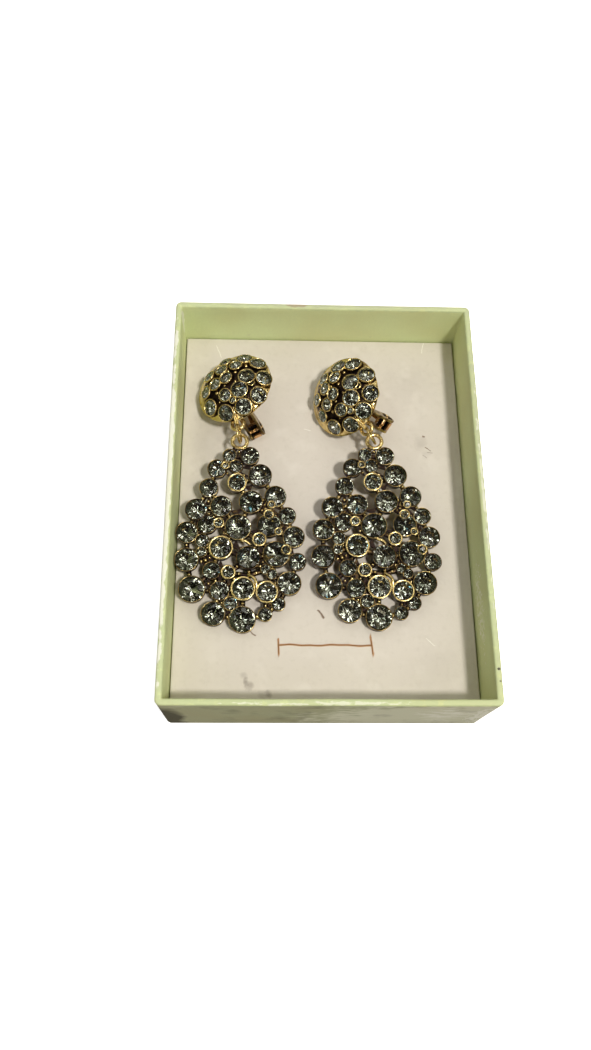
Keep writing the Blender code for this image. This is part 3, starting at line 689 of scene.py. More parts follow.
strut_tree, given, result = new_tree("struts_on_edges", [
    ("Edges", "Geometry"), ("Radius", "Float"), ("Sides", "Int"), ("Wear", "Float"), ("Finish", "Material")])
runs = add_node(strut_tree, "GeometryNodeMeshToCurve", {"Mesh": given["Edges"]})
round_wire = add_node(strut_tree, "GeometryNodeCurvePrimitiveCircle",
                      {"Radius": given["Radius"], "Resolution": given["Sides"]})
tube = add_node(strut_tree, "GeometryNodeCurveToMesh", {
    "Curve": runs.outputs["Curve"], "Profile Curve": round_wire.outputs["Curve"], "Fill Caps": True})
smooth = add_node(strut_tree, "GeometryNodeSetShadeSmooth",
                  {"Geometry": stored(strut_tree, tube.outputs["Mesh"], "wear", given["Wear"], "POINT")})
real = add_node(strut_tree, "GeometryNodeRealizeInstances", {"Geometry": smooth.outputs["Geometry"]})
strut_tree.links.new(coated(strut_tree, real.outputs["Geometry"], given["Finish"]), result)


def set_on(places, makers, seed, lean, finish, inner_finish=None):
    """Cups or stones on places, each a (point, turn, kind). The makers are the meshes of the kinds."""
    holder = bpy.data.collections.new("kinds")
    for number, maker in enumerate(makers):
        holder.objects.link(bpy.data.objects.new(f"kind_{number:02d}", maker))
    points, turns, kinds = zip(*places)
    mesh = mesh_from("places", points)
    mesh.attributes.new("kind", "INT", "POINT").data.foreach_set("value", kinds)
    angles = [angle for turn in turns for angle in turn]
    mesh.attributes.new("turn", "FLOAT_VECTOR", "POINT").data.foreach_set("vector", angles)
    made = grown(setting_tree, mesh, {"Pieces": holder, "Seed": seed, "Lean": lean, "Finish": finish,
                                      "Inner finish": inner_finish or finish})
    for obj in list(holder.objects):
        bpy.data.objects.remove(obj)
    bpy.data.collections.remove(holder)
    return made


def struts(edges, radius, sides, worn):
    ends = [point for edge in edges for point in edge]
    mesh = mesh_from("edges", ends, edges=[(2 * i, 2 * i + 1) for i in range(len(edges))])
    return grown(strut_tree, mesh, {"Radius": radius, "Sides": sides, "Wear": worn, "Finish": antique_gold})


def joined(name, meshes, matrix, material=None):
    """One piece at the origin from several meshes, its place in its mesh."""
    parts = [linked(name, mesh) for mesh in meshes]
    if material:
        for mesh in meshes:
            mesh.materials.clear()
            mesh.materials.append(material)
    if len(parts) > 1:
        with bpy.context.temp_override(active_object=parts[0], selected_editable_objects=parts):
            bpy.ops.object.join()
    parts[0].data.transform(matrix)
    parts[0].name = name
    return parts[0]


def ring_mesh(mean_radius, across, thick, worn, around=48, sides=14):
    """A ring of oval wire in the XY plane: across its width, thick through its plane."""
    points, faces = [], []
    for i in range(around):
        turn = Matrix.Rotation(2 * math.pi * i / around, 4, "Z")
        for k in range(sides):
            angle = 2 * math.pi * k / sides
            offset = Vector((mean_radius + across / 2 * math.cos(angle), 0, thick / 2 * math.sin(angle)))
            points.append(turn @ offset)
    total = around * sides
    for i in range(around):
        for k in range(sides):
            here, above = i * sides + k, i * sides + (k + 1) % sides
            faces.append([here, (here + sides) % total, (above + sides) % total, above])
    mesh = marked(mesh_from("ring", points, faces), "wear", [worn] * len(points))
    mesh.shade_smooth()
    return mesh


# Each drop is a cluster of bezel cups soldered edge to edge and tied by dark struts and webs that leave small
# gaps, with one cast loop at its top. A few cups stand proud as gold collars, the rest are thin dark rims.
SIZES = ("grand", "large", "broad", "medium", "fine", "small", "slight", "tiny")
DIAMETERS = dict(zip(SIZES, (6.9, 6.2, 5.7, 5.0, 4.6, 3.6, 2.6, 1.8)))
CUP_DEPTHS = dict(zip(SIZES, (3.0, 2.8, 2.6, 2.4, 2.2, 1.9, 1.7, 1.5)))
CUP_BACKS = dict(zip(SIZES, (0.0, 0.1, 0.2, 0.3, 0.4, 0.7, 1.1, 1.5)))
STONES_ACROSS = 30.0 * MM
STONES_ALONG = 45.7 * MM
STRUT_R = 0.72 * MM
STRUT_HEIGHT = 1.2 * MM
STRUT_SUNK = 0.3 * MM
STRUT_WEAR = 0.2
STRUT_SIDES = 10
CUP_SIDES = 32
NEAR_GAP = 1.7 * MM
WEB_THICK = 0.9 * MM
WEB_GAP = 1.05 * MM
WEB_SPAN = 2.6 * MM
WEB_SUNK = 0.15 * MM
WEB_WEAR = 0.12
GRANULES = (0.32, 0.42, 0.52)
GRAIN_RISE = 0.6 * MM
GRAIN_ROOM = 0.35 * MM
GRAIN_WEAR = 0.8
LOOP_WEAR = 0.95
BEAD_R = 0.65 * MM
BEAD_RISE = 0.7 * MM
PROUD = 0.5 * MM
FLARE = 0.19 * MM
THIN_RIM = 0.22 * MM
COLLAR_RIM = 0.50 * MM
MOST_RIM = 0.30
STONE_PLAY = 0.01 * MM
STONE_SUNK = 0.10 * MM
LOOP_MEAN_R = 2.05 * MM
LOOP_BAND = 1.10 * MM
LOOP_THICK = 1.0 * MM
TWIG_R = 0.46 * MM
TWIGS = (((-0.9, 25.5, 2.2), (0.3, 24.6, 2.6), (0.9, 24.9, 2.6), (2.0, 23.9, 2.0)),
         ((1.8, 15.5, 2.2), (3.0, 14.8, 3.0), (3.8, 13.4, 3.3), (3.7, 11.9, 2.9)))
LOOP_PLACE = Vector((-0.825 * MM, 53.55 * MM, 1.4 * MM))
BEAD_PLACE = (0.12, 0.265)
DROP_STONES = [
    (0.00, 0.000, "grand", 0), (0.40, 0.030, "small", 0), (-0.515, 0.035, "large", 0),
    (0.635, 0.090, "small", 0), (-0.205, 0.095, "small", 0), (0.435, 0.160, "broad", 1),
    (-0.405, 0.170, "medium", 0), (0.01, 0.180, "large", 1), (-0.895, 0.180, "grand", 0),
    (0.835, 0.210, "large", 0), (0.53, 0.265, "slight", 0), (-0.25, 0.280, "small", 1),
    (-0.55, 0.290, "fine", 0), (0.415, 0.295, "slight", 0), (0.985, 0.340, "fine", 0),
    (-1.00, 0.355, "large", 0), (0.105, 0.365, "large", 0), (0.605, 0.385, "grand", 0),
    (-0.735, 0.400, "slight", 0), (0.785, 0.410, "slight", 1), (-0.385, 0.425, "large", 1),
    (-0.72, 0.470, "small", 0), (0.305, 0.475, "small", 1), (0.925, 0.490, "broad", 0),
    (-1.00, 0.520, "broad", 0), (0.65, 0.520, "tiny", 1), (-0.08, 0.550, "grand", 0),
    (0.48, 0.560, "large", 0), (-0.64, 0.570, "medium", 0), (-0.425, 0.575, "slight", 1),
    (0.81, 0.620, "fine", 0), (0.475, 0.625, "slight", 1), (-0.84, 0.660, "broad", 0),
    (-0.385, 0.680, "broad", 0), (0.525, 0.685, "tiny", 1), (0.15, 0.705, "large", 0),
    (0.60, 0.740, "broad", 0), (-0.615, 0.795, "medium", 0), (-0.10, 0.825, "medium", 1),
    (0.32, 0.870, "large", 0), (-0.47, 0.915, "medium", 0), (-0.12, 0.930, "small", 0),
    (-0.31, 0.930, "tiny", 1), (0.13, 0.995, "medium", 0), (-0.24, 1.000, "small", 0),
]
DROP_KINDS = sorted({(size, raised) for _, _, size, raised in DROP_STONES})
LYING_DROPS = {
    "left": (Vector((-22.0, -36.25, 13.98)) * MM, math.radians(0.8), math.radians(7.0)),
    "right": (Vector((14.2, -35.45, 13.98)) * MM, math.radians(-1.0), math.radians(6.1)),
}


def cup_sizes(size, raised):
    """A cup's outer radius, its back, its top and the width of its rim."""
    radius, back = DIAMETERS[size] * MM / 2 + FLARE, CUP_BACKS[size] * MM
    rim = min(COLLAR_RIM, radius * MOST_RIM) if raised else THIN_RIM
    return radius, back, back + CUP_DEPTHS[size] * MM + raised * PROUD, rim


def cup(size, raised):
    """A bezel cup: a closed back, an upright wall and a rounded rim turned in over the stone's girdle."""
    radius, back, top, rim = cup_sizes(size, raised)
    crest, side = (1.0, 0.9) if raised else (0.46, 0.0)
    return lathed([
        (0, back, 0.3), (radius * 0.88, back, 0.4), (radius * 0.97, back + 0.25 * MM, 0.2),
        (radius * 0.97, (back + top) / 2, 0.0), (radius * 0.985, top - 0.35 * MM, 0.0),
        (radius, top - 0.14 * MM, side), (radius - rim * 0.25, top - 0.02 * MM, crest),
        (radius - rim * 0.5, top, crest), (radius - rim * 0.75, top - 0.02 * MM, crest),
        (radius - rim, top - 0.12 * MM, side), (radius - rim * 1.03, top - 0.4 * MM, 0.0),
        (radius - rim * 1.05, back + 0.10 * MM, 0.0), (0, back + 0.04 * MM, 0.0)], CUP_SIDES)


def cup_stone(size, raised):
    radius, back, top, rim = cup_sizes(size, raised)
    stone_r = radius - rim - STONE_PLAY
    return brilliant(stone_r, max(top - STONE_SUNK, back + 0.06 * MM + stone_r * PAVILION_SHARE))


def drop_place(across, up):
    return Vector((across * STONES_ACROSS / 2, DIAMETERS["grand"] * MM / 2 + up * STONES_ALONG, 0))


def neighbours(places):
    """Pairs with no third place nearer to both."""
    pairs = []
    for i, here in enumerate(places):
        for k in range(i + 1, len(places)):
            span = (places[k] - here).length
            others = places[:i] + places[i + 1:k] + places[k + 1:]
            if all(max((other - here).length, (other - places[k]).length) >= span for other in others):
                pairs.append((i, k))
    return pairs


def strut_ends(places, radii):
    """Each strut from just inside one cup's wall to just inside the next one's, at its own height."""
    drift = random.Random(5)
    edges = []
    close = [(i, k) for i, k in side_by_side
             if (places[i] - places[k]).length < radii[i] + radii[k] + NEAR_GAP]
    for i, k in sorted({*neighbours(places), *close}):
        way = (places[k] - places[i]).normalized()
        start, end = places[i] + way * (radii[i] - STRUT_SUNK), places[k] - way * (radii[k] - STRUT_SUNK)
        lift = Vector((0, 0, STRUT_HEIGHT + drift.uniform(-0.25, 0.35) * MM))
        if (end - start).dot(way) > 0:
            edges.append((start + lift, end + lift))
    return edges


def webs(corner_sets):
    """Thin three-cornered plates, each a closed solid."""
    points, faces = [], []
    for corners in corner_sets:
        first = len(points)
        for height in (STRUT_HEIGHT - WEB_THICK / 2, STRUT_HEIGHT + WEB_THICK / 2):
            points += [corner + Vector((0, 0, height)) for corner in corners]
        faces += [[first + 2, first + 1, first], [first + 3, first + 4, first + 5]]
        faces += [[first + i, first + (i + 1) % 3, first + 3 + (i + 1) % 3, first + 3 + i] for i in range(3)]
    return marked(mesh_from("webs", points, faces), "wear", [WEB_WEAR] * len(points))


places = [drop_place(across, up) for across, up, _, _ in DROP_STONES]
radii = [DIAMETERS[size] * MM / 2 for _, _, size, _ in DROP_STONES]
places += [drop_place(*BEAD_PLACE), Vector((LOOP_PLACE.x, LOOP_PLACE.y, 0))]
radii += [BEAD_R, LOOP_MEAN_R + LOOP_BAND / 2]
net = delaunay_2d_cdt([place.to_2d() / MM for place in places], [], [], 0, 0.001)
side_by_side = [tuple(sorted(pair)) for pair in net[1]]
edges = strut_ends(places, radii)
filled = []
for corners in net[2]:
    spans = [(places[corners[i]] - places[corners[i - 1]]).length - radii[corners[i]] - radii[corners[i - 1]]
             for i in range(3)]
    middle = sum((places[i] * (1 / 3) for i in corners), Vector())
    room = min((places[i] - middle).length - radii[i] for i in corners)
    if max(spans) < WEB_SPAN and room < WEB_GAP:
        filled.append([places[i] + (middle - places[i]).normalized() * (radii[i] - WEB_SUNK)
                       for i in corners])
scatter = random.Random(12)
granules = []
for start, end in edges:
    if (end - start).length > GRAIN_ROOM and scatter.random() < 0.8:
        spot = start.lerp(end, scatter.uniform(0.35, 0.65)) + Vector((0, 0, GRAIN_RISE))
        granules.append((spot, (0, 0, 0), scatter.randrange(len(GRANULES))))
for corners in filled:
    spot = sum((corner * (1 / 3) for corner in corners), Vector((0, 0, STRUT_HEIGHT + 0.55 * WEB_THICK)))
    if scatter.random() < 0.6:
        granules.append((spot, (0, 0, 0), scatter.randrange(len(GRANULES))))


def ball(radius, worn):
    arc = [math.radians(angle) for angle in range(-60, 61, 30)]
    return lathed([(0, -radius, worn)] + [(radius * math.cos(a), radius * math.sin(a), worn) for a in arc]
                  + [(0, radius, worn)], 10)


def granule_kinds():
    return [ball(size * MM, GRAIN_WEAR) for size in GRANULES]


def bent_wire(points, radius, worn, sides=10):
    """Round wire through the points, its bends softened."""
    path = bpy.data.curves.new("wire", "CURVE")
    path.dimensions = "3D"
    path.bevel_depth = radius / MM
    path.bevel_resolution = sides // 2 - 1
    path.use_fill_caps = True
    spline = path.splines.new("NURBS")
    spline.points.add(len(points) - 1)
    for point, place in zip(spline.points, points):
        point.co = (*place, 1)
    spline.use_endpoint_u = True
    spline.order_u = 3
    spline.resolution_u = 6
    return plain_mesh(path, worn)


def plain_mesh(curve, worn):
    """The closed mesh of a curve that is drawn in millimetres."""
    mesh = outward(made_plain(linked("drawn", curve)), merge=0.0005)
    mesh.transform(Matrix.Scale(MM, 4))
    marked(mesh, "wear", [worn] * len(mesh.vertices))
    mesh.shade_smooth()
    mesh.set_sharp_from_angle(angle=math.radians(40))
    return mesh


def lying_drop(foot_place, turn_z, rise):
    return Matrix.Translation(foot_place) @ Matrix.Rotation(turn_z, 4, "Z") @ Matrix.Rotation(rise, 4, "X")


for number, (hand, lying) in enumerate(LYING_DROPS.items()):
    chart = [(drop_place(across, up), (0, 0, 0), DROP_KINDS.index((size, raised)))
             for across, up, size, raised in DROP_STONES]
    cups = set_on(chart, [cup(*kind) for kind in DROP_KINDS], 3 + number, 0.0, antique_gold)
    bead = ball(BEAD_R, LOOP_WEAR)
    bead.transform(Matrix.Translation(drop_place(*BEAD_PLACE) + Vector((0, 0, STRUT_HEIGHT + BEAD_RISE))))
    loop = ring_mesh(LOOP_MEAN_R, LOOP_BAND, LOOP_THICK, LOOP_WEAR)
    loop.transform(Matrix.Translation(LOOP_PLACE))
    grains = set_on(granules, granule_kinds(), 41 + number, 0.0, antique_gold)
    parts = [cups, struts(edges, STRUT_R, STRUT_SIDES, STRUT_WEAR), webs(filled), grains, bead, loop]
    parts += [bent_wire(twig, TWIG_R, 1.2) for twig in TWIGS]
    metal = joined(f"drop_metal_{hand}", parts, lying_drop(*lying), antique_gold)
    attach(metal, "root")
    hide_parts(f"drop_{hand}")
    gems = [cup_stone(*kind) for kind in DROP_KINDS]
    stones = set_on(chart, gems, 11 + number, 0.05, crystal_glass, crystal_foil)
    stones = joined(f"drop_stones_{hand}", [stones], lying_drop(*lying))
    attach(stones, "root")

# Each button is a hollow cast dome with a bright flat rim. Its stones sit in thin gold collars, with dark
# oxide between them, and a small loop at its foot takes the jump ring.
BUTTON_R = 11.3 * MM
DOME_RISE = 5.1 * MM
DOME_WALL = 1.3 * MM
DOME_SIDES = 180
DOME_RINGS = 38
BUTTON_RIM = 0.33 * MM
COLLAR_FLARE = 0.20 * MM
COLLAR_SIDES = 30
GRAIN_SUNK = 0.05 * MM
BUTTON_GRAINS = ((0.21, 330), (0.25, 55), (0.27, 125), (0.22, 240), (0.47, 108), (0.60, 125), (0.48, 176),
                 (0.50, 258), (0.47, 310), (0.64, 330), (0.70, 35), (0.72, 92), (0.72, 210), (0.55, 222),
                 (0.26, 178), (0.66, 260))
STONE_STAND = 0.9 * MM
PIT_DEEP = 1.12 * MM
BUTTON_LOOP_MEAN_R = 1.8 * MM
BUTTON_LOOP_WIRE = 1.0 * MM
BUTTON_LOOP_REACH = 0.7 * MM
BUTTON_LOOP_BACK = 0.6 * MM
BUTTON_STONES = [
    (0.03, 265, "small"), (0.50, 35, "fine"), (0.505, 82, "fine"), (0.43, 147, "small"), (0.36, 205, "small"),
    (0.35, 281, "small"), (0.47, 347, "small"), (0.63, 6, "tiny"), (0.64, 67, "tiny"), (0.865, 20, "fine"),
    (0.905, 51, "fine"), (0.89, 83, "fine"), (0.85, 117, "fine"), (0.735, 145, "fine"), (0.63, 187, "small"),
    (0.64, 239, "small"), (0.685, 281, "small"), (0.825, 313, "fine"), (0.87, 347, "fine"),
]
BUTTON_KINDS = sorted({size for _, _, size in BUTTON_STONES})
HANGER_WIRE = 0.30 * MM
HANGER_HALF_GAP = 0.27
HANGER_BENDS = ((8.3, 2.6), (9.3, 2.5), (10.4, 1.5), (11.6, 0.3), (12.2, -0.3))
RUBBED_FROM = 0.70
RUBBED_OVER = 0.16
CLIP_TURN = math.radians(13)
HINGE_OUT = 10.6 * MM
HINGE_BACK = 7.7 * MM
PIN_HOLE_R = 1.7 * MM
BARREL_R = 2.3 * MM
BARREL_HALF = 1.1 * MM
RUN_GAP = 0.3 * MM
EAR_THICK = 0.7 * MM
EAR_ROOT = (0.6 * MM, 3.4 * MM)
LYING_BUTTONS = {
    "left": (Vector((-25.228, 33.638, 21.678)) * MM, *map(math.radians, (23.6, 166.5, -86))),
    "right": (Vector((6.405, 31.407, 21.667)) * MM, *map(math.radians, (43, -163, -64))),
}
dome_r = (BUTTON_R**2 + DOME_RISE**2) / (2 * DOME_RISE)


def dome_height(distance, depth=0.0):
    return math.sqrt((dome_r - depth) ** 2 - distance**2) - (dome_r - DOME_RISE)


def on_dome(share, angle):
    """Z along the dome's outward normal, at its surface."""
    slope = math.asin(share * BUTTON_R / (dome_r + STONE_STAND))
    tip = Matrix.Rotation(math.radians(angle), 4, "Z") @ Matrix.Rotation(slope, 4, "Y")
    return Matrix.Translation((0, 0, DOME_RISE - dome_r)) @ tip @ Matrix.Translation((0, 0, dome_r))


def lean_matrix(centre, lean, lean_heading, loop_heading):
    level = (math.cos(lean_heading), math.sin(lean_heading))
    normal = Vector((*(c * math.sin(lean) for c in level), math.cos(lean)))
    heading = Vector((math.cos(loop_heading), math.sin(loop_heading), 0))
    heading.z = -normal.dot(heading) / normal.z
    heading.normalize()
    turned = Matrix((heading, normal.cross(heading), normal)).transposed().to_4x4()
    return Matrix.Translation(centre) @ turned


def collar_sizes(size):
    """A collar's outer radius and the width of its rim."""
    radius = DIAMETERS[size] * MM / 2 + COLLAR_FLARE
    return radius, min(BUTTON_RIM, radius * MOST_RIM)


def button_collar(size):
    (radius, rim), top = collar_sizes(size), STONE_STAND
    return lathed([
        (radius - rim * 1.05, -PIT_DEEP, 0), (radius, -PIT_DEEP, 0), (radius * 0.99, top - 0.5 * MM, 0.2),
        (radius, top - 0.14 * MM, 0.9), (radius - rim * 0.3, top - 0.02 * MM, 1),
        (radius - rim * 0.6, top, 1), (radius - rim, top - 0.12 * MM, 0.8),
        (radius - rim * 1.05, top - 0.4 * MM, 0), (radius - rim * 1.05, -PIT_DEEP, 0)], COLLAR_SIDES)


def button_stone(size):
    radius, rim = collar_sizes(size)
    return brilliant(radius - rim - STONE_PLAY, STONE_STAND - STONE_SUNK)


def pitted(mesh):
    """The dome with a pit under each stone, its edge hidden by the collar."""
    for share, angle, size in BUTTON_STONES:
        stance = on_dome(share, angle)
        inwards = stance.inverted()
        reach = DIAMETERS[size] * MM / 2 + COLLAR_FLARE - BUTTON_RIM / 2
        for vertex in mesh.vertices:
            seen = inwards @ vertex.co
            if math.hypot(seen.x, seen.y) < reach and seen.z > -DOME_WALL * 0.7:
                vertex.co = stance @ Vector((seen.x, seen.y, min(seen.z, -PIT_DEEP)))
    return mesh


def stamped(outlines, thick, soft_edge, worn):
    """A flat plate in the XY plane, cut to closed outlines in millimetres, the second one a hole."""
    sheet = bpy.data.curves.new("plate", "CURVE")
    sheet.dimensions = "2D"
    sheet.fill_mode = "BOTH"
    sheet.extrude = thick / 2 - soft_edge
    sheet.bevel_depth = soft_edge
    sheet.bevel_resolution = 1
    sheet.offset = -soft_edge
    for outline in outlines:
        spline = sheet.splines.new("POLY")
        spline.points.add(len(outline) - 1)
        for point, (x, y) in zip(spline.points, outline):
            point.co = (x, y, 0, 1)
        spline.use_cyclic_u = True
    return plain_mesh(sheet, worn)


def arc(radius, start, end, steps, centre=(0, 0)):
    angles = [math.radians(start + (end - start) * i / steps) for i in range(steps + 1)]
    return [(centre[0] + radius * math.cos(angle), centre[1] + radius * math.sin(angle)) for angle in angles]


def hinge_frame():
    """The clip's frame on the button: X from the hinge across the back, Y along the pin, Z to the front."""
    return Matrix.Rotation(CLIP_TURN + math.pi, 4, "Z") @ Matrix.Translation((-HINGE_OUT, 0, -HINGE_BACK))


def clip_ear(side):
    """One of the two plates that carry the pin, its root soldered inside the dome."""
    middle = BARREL_HALF + RUN_GAP + EAR_THICK / 2
    outline = []
    for along in reversed(EAR_ROOT):
        distance = math.hypot(along - HINGE_OUT, middle)
        outline.append((along / MM, (HINGE_BACK + dome_height(distance, DOME_WALL / 2)) / MM))
    outline += arc(BARREL_R / MM, 150, 370, 28)
    plate = stamped([outline, arc(PIN_HOLE_R / MM, 0, 350, 35)], EAR_THICK / MM, 0.1, 0.6)
    stance = hinge_frame() @ Matrix.Translation((0, side * middle, 0))
    plate.transform(stance @ Matrix.Rotation(math.pi / 2, 4, "X"))
    return plate


inner_rim = math.sqrt((dome_r - DOME_WALL) ** 2 - (dome_r - DOME_RISE) ** 2)
dome_profile = [(0, dome_height(0, DOME_WALL), 0.6)]
dome_profile += [(inner_rim * share, dome_height(inner_rim * share, DOME_WALL), 0.6)
                 for share in (0.2, 0.4, 0.6, 0.8, 0.93)]
dome_profile += [(inner_rim, 0.05 * MM, 0.8), (BUTTON_R - 0.25 * MM, 0, 0.95),
                 (BUTTON_R - 0.05 * MM, 0.08 * MM, 1), (BUTTON_R, 0.28 * MM, 1)]
for ring_number in range(DOME_RINGS - 1, 0, -1):
    share = ring_number / DOME_RINGS
    worn = min(1, max(0, (share - RUBBED_FROM) / RUBBED_OVER))
    dome_profile.append((BUTTON_R * share, dome_height(BUTTON_R * share), worn))
dome_profile += [(0, DOME_RISE, 0.0)]
button_matrices = {}
for number, (hand, lying) in enumerate(LYING_BUTTONS.items()):
    lie = lean_matrix(*lying)
    button_matrices[hand] = lie
    chart = []
    for share, angle, size in BUTTON_STONES:
        stance = on_dome(share, angle)
        chart.append((stance.to_translation(), stance.to_euler(), BUTTON_KINDS.index(size)))
    collars = set_on(chart, [button_collar(size) for size in BUTTON_KINDS], 21 + number, 0.0, antique_gold)
    grain_chart = [(on_dome(*place) @ Vector((0, 0, -GRAIN_SUNK)), (0, 0, 0), k % len(GRANULES))
                   for k, place in enumerate(BUTTON_GRAINS)]
    grains = set_on(grain_chart, granule_kinds(), 51 + number, 0.0, antique_gold)
    loop = ring_mesh(BUTTON_LOOP_MEAN_R, BUTTON_LOOP_WIRE, BUTTON_LOOP_WIRE, LOOP_WEAR)
    loop.transform(Matrix.Translation((BUTTON_R + BUTTON_LOOP_REACH, 0, -BUTTON_LOOP_BACK)))
    parts = [pitted(lathed(dome_profile, DOME_SIDES)), collars, grains, loop, clip_ear(-1), clip_ear(1)]
    parts += [bent_wire([(x, y, z) for x, z in HANGER_BENDS], HANGER_WIRE, 1.0)
              for y in (-HANGER_HALF_GAP, HANGER_HALF_GAP)]
    metal = joined(f"button_metal_{hand}", parts, lie, antique_gold)
    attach(metal, "root")
    gems = [button_stone(size) for size in BUTTON_KINDS]
    stones = set_on(chart, gems, 31 + number, 0.04, crystal_glass, crystal_foil)
    stones = joined(f"button_stones_{hand}", [stones], lie)
    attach(stones, "root")
    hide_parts(f"button_{hand}")

# The clip behind each button: a slotted pin runs through the ears and holds a paddle lever, whose end is an
# open roll of coppery strip. A leaf spring lies in the dark pin. The lying levers rest just over the liner.
# The pin's darkness is oxide and painted shade for the inside of the roll; the leaf spring's brightness is a
# painted highlight streak.
REST_SWINGS = {"left": math.radians(15.43), "right": math.radians(14.26)}
STRIP_THICK = 0.55
ROLL_GAP = (48, 156)
PIN_GAP = (55, 170)
PADDLE_OUT = 11.5
PADDLE_R = 3.5
PADDLE_ARC = 142
ARM_HALF = 0.95
ARM_THICK = 0.8
RIDGE_RADII = (2.5, 2.0)
RIDGE_THICK = 0.3
RIDGE_HEIGHT = 0.85
PIN_R = 1.42 * MM
PIN_BORE_R = 1.12 * MM
SPRING_THICK = 0.26
SPRING_HALF = 0.42
SPRING_OFF = 0.55 * MM
SPRING_TURN = math.radians(-35)


def clip_lever():
    """The lever with its pin at the origin, X along its arm and the button on its Z side."""
    outer = BARREL_R / MM
    strip = arc(outer, ROLL_GAP[0], ROLL_GAP[1] - 360, 40)
    strip += arc(outer - STRIP_THICK, ROLL_GAP[1] - 360, ROLL_GAP[0], 40)
    roll = stamped([strip], 2 * BARREL_HALF / MM, 0.1, 0.8)
    roll.transform(Matrix.Rotation(math.pi / 2, 4, "X"))
    neck = [(-0.1, -ARM_HALF), (5.2, -ARM_HALF), (7.2, -1.25), (8.3, -1.75)]
    paddle = arc(PADDLE_R, -PADDLE_ARC, PADDLE_ARC, 36, (PADDLE_OUT, 0))
    arm = stamped([neck + paddle + [(x, -y) for x, y in neck[::-1]]], ARM_THICK, 0.22, 0.75)
    rings = [arc(radius, 0, 350, 35, (PADDLE_OUT, 0)) for radius in RIDGE_RADII]
    ridge = stamped(rings, RIDGE_THICK, 0.1, 0.95)
    arm.transform(Matrix.Translation((0, 0, (ARM_THICK / 2 - outer) * MM)))
    ridge.transform(Matrix.Translation((0, 0, (RIDGE_HEIGHT - outer) * MM)))
    return [roll, arm, ridge]


def clip_pin():
    """A slotted spring pin, dark with oxide and painted shade, with a leaf spring lying in it whose
    brightness is a painted highlight.
    """
    half = BARREL_HALF + RUN_GAP + EAR_THICK - 0.1 * MM
    outer, bore = PIN_R / MM, PIN_BORE_R / MM
    slotted = arc(outer, PIN_GAP[0], PIN_GAP[1] - 360, 36) + arc(bore, PIN_GAP[1] - 360, PIN_GAP[0], 36)
    # Wear 0 darkens the pin: oxide, and painted shade inside the roll.
    tube = stamped([slotted], 2 * half / MM, 0.05, 0.0)
    tube.transform(Matrix.Rotation(math.pi / 2, 4, "X"))
    reach = half / MM - 0.1
    corners = [(-reach, -SPRING_HALF), (reach, -SPRING_HALF), (reach, SPRING_HALF), (-reach, SPRING_HALF)]
    # The leaf's bright rubbed tone is a painted highlight: it stands for the highlight streak along the pin.
    leaf = stamped([corners], SPRING_THICK, 0.06, 1.2)
    leaf.transform(Matrix.Rotation(SPRING_TURN, 4, "Y") @ Matrix.Translation((0, 0, -SPRING_OFF))
                   @ Matrix.Rotation(math.pi / 2, 4, "Z"))
    return [tube, leaf]


for hand, swing in REST_SWINGS.items():
    hinge = button_matrices[hand] @ hinge_frame()
    swung = hinge @ Matrix.Rotation(-swing, 4, "Y")
    lever = joined(f"paddle_lever_{hand}", clip_lever(), swung, coppery_gold)
    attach(lever, f"clip_{hand}")
    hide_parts(f"clip_lever_{hand}")
    pin = joined(f"hinge_pin_{hand}", clip_pin(), hinge, coppery_gold)
    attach(pin, "root")
    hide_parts(f"clip_pin_{hand}")

# A jump ring links each drop's loop to its button's loop. It is round plated wire, bent shut, and leans so
# that it passes squarely through both loops.
JUMP_MEAN_R = 2.6 * MM
JUMP_WIRE = 0.7 * MM
JUMP_OUT = 0.4 * MM
for hand, lying in LYING_DROPS.items():
    drop_lie, button_lie = lying_drop(*lying), button_matrices[hand]
    drop_seat = drop_lie @ LOOP_PLACE
    button_seat = button_lie @ Vector((BUTTON_R + BUTTON_LOOP_REACH + JUMP_OUT, 0, -BUTTON_LOOP_BACK))
    reach = (button_seat - drop_seat).normalized()
    through = drop_lie.col[2].to_3d() + button_lie.col[2].to_3d()
    through = (through - reach * through.dot(reach)).normalized()
    turned = Matrix((reach, through, reach.cross(through))).transposed().to_4x4()
    midway = Matrix.Translation((drop_seat + button_seat) / 2)
    link = joined(f"jump_wire_{hand}", [ring_mesh(JUMP_MEAN_R, JUMP_WIRE, JUMP_WIRE, 1.0)], midway @ turned,
                  antique_gold)
    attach(link, "root")
    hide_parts(f"jump_ring_{hand}")

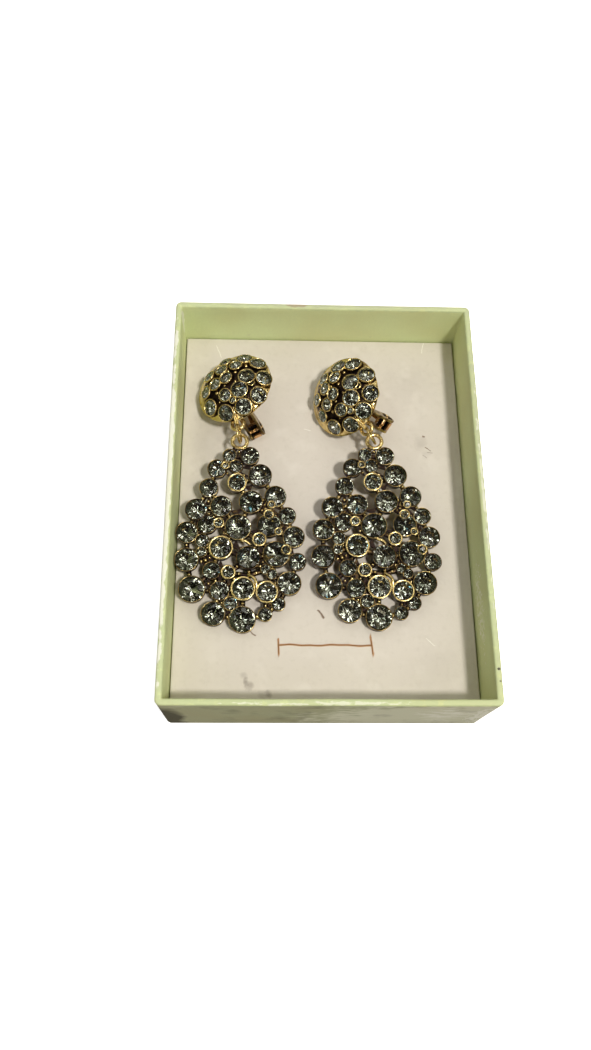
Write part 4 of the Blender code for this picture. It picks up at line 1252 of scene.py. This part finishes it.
# A pale floor, one soft lamp high at the front right, and a dim room with soft bright panels for the metal
# and the stones to mirror. The room is dark where the viewer stands.
FLOOR_HALF = 3.0
FLOOR_WHITE = (0.97, 0.97, 0.965)
FLOOR_BOUNCE = (0.28, 0.26, 0.22)
FLOOR_GLOW = 0.8
KEY_WAY = Vector((0.28, -0.33, 1.0))
KEY_DISTANCE = 1.25
KEY_SIZE = 0.13
KEY_POWER = 10.0
KEY_COLOUR = (1.0, 0.965, 0.90)
SKY = (0.152, 0.133, 0.092)
PANELS = (
    ((-0.7, 0.5, 0.9), 13, 1.0, (0.97, 0.99, 1.0)), ((0.95, 0.15, 0.9), 12, 1.3, (1.0, 0.95, 0.87)),
    ((-0.6, -0.9, 0.7), 11, 1.3, (1.0, 0.98, 0.94)), ((0.15, 0.95, 0.8), 13, 1.2, (1.0, 0.99, 0.97)),
    ((0.75, -0.75, 0.75), 10, 1.6, (1.0, 0.97, 0.92)),
    ((0.30, 0.16, 1.0), 4.5, 8.0, (1.0, 0.98, 0.95)), ((-0.50, 0.02, 1.0), 4, 8.0, (0.98, 1.0, 1.0)),
    ((-0.45, -0.80, 0.9), 4, 8.0, (1.0, 1.0, 1.0)), ((0.50, -0.62, 1.0), 4, 7.0, (1.0, 0.98, 0.94)),
    ((-0.05, 0.42, 1.0), 4, 7.0, (1.0, 1.0, 0.98)))
BACKDROP = (1.0, 1.0, 0.995)
VIEWER = ((-0.063, -0.357, 0.932), 23, 0.07)
EYE_PLACE = Vector((-16.1, -91.2, 236.9)) * MM
EYE_TURN = (21.12, -2.07, -0.18)
LENS = 29.33
SENSOR_HEIGHT = 36.0

floor_paint, tree, shader = new_finish("pale_floor", roughness=0.8)
sight = tree.nodes.new("ShaderNodeLightPath").outputs["Is Camera Ray"]
tree.links.new(mixed(tree, sight, FLOOR_BOUNCE, FLOOR_WHITE), shader.inputs["Base Color"])
shader.inputs["Emission Color"].default_value = (1, 0.995, 0.98, 1)
tree.links.new(maths(tree, "MULTIPLY", sight, FLOOR_GLOW), shader.inputs["Emission Strength"])
corners = [(x * FLOOR_HALF, y * FLOOR_HALF, 0) for x, y in ((-1, -1), (1, -1), (1, 1), (-1, 1))]
floor = piece_from("floor", corners, [[0, 1, 2, 3]], [floor_paint], smooth=False)

lamp = bpy.data.lights.new("key", "AREA")
lamp.shape = "DISK"
lamp.size = KEY_SIZE
lamp.energy = KEY_POWER
lamp.color = KEY_COLOUR
key = linked("key", lamp)
key.location = KEY_WAY.normalized() * KEY_DISTANCE
key.rotation_euler = KEY_WAY.to_track_quat("Z", "Y").to_euler()

world = bpy.data.worlds.new("room")
bpy.context.scene.world = world
world.use_nodes = True
tree = world.node_tree
way = vector_maths(tree, "NORMALIZE", tree.nodes.new("ShaderNodeTexCoord").outputs["Generated"])


def within(aim, spread):
    """One inside a cone of the room about a direction, none outside, with a soft edge."""
    facing = vector_maths(tree, "DOT_PRODUCT", way, Vector(aim).normalized())
    return stepped(tree, facing, math.cos(math.radians(spread * 1.15)), math.cos(math.radians(spread * 0.85)))


shade = stepped(tree, within(VIEWER[0], VIEWER[1]), 0, 1, 1, VIEWER[2])
light = vector_maths(tree, "SCALE", SKY, shade)
for aim, spread, strength, tint in PANELS:
    panel = vector_maths(tree, "SCALE", [strength * c for c in tint], within(aim, spread))
    light = vector_maths(tree, "ADD", light, panel)
seen = tree.nodes.new("ShaderNodeLightPath").outputs["Is Camera Ray"]
tree.links.new(mixed(tree, seen, light, BACKDROP), tree.nodes["Background"].inputs["Color"])

view = bpy.context.scene.view_settings
view.view_transform = "Standard"
view.look = "None"

camera = bpy.data.cameras.new("camera")
camera.sensor_fit = "VERTICAL"
camera.sensor_height = SENSOR_HEIGHT
camera.lens = LENS
camera.clip_start = 0.01
eye = linked("camera", camera)
eye.location = EYE_PLACE
eye.rotation_euler = [math.radians(angle) for angle in EYE_TURN]
bpy.context.scene.camera = eye
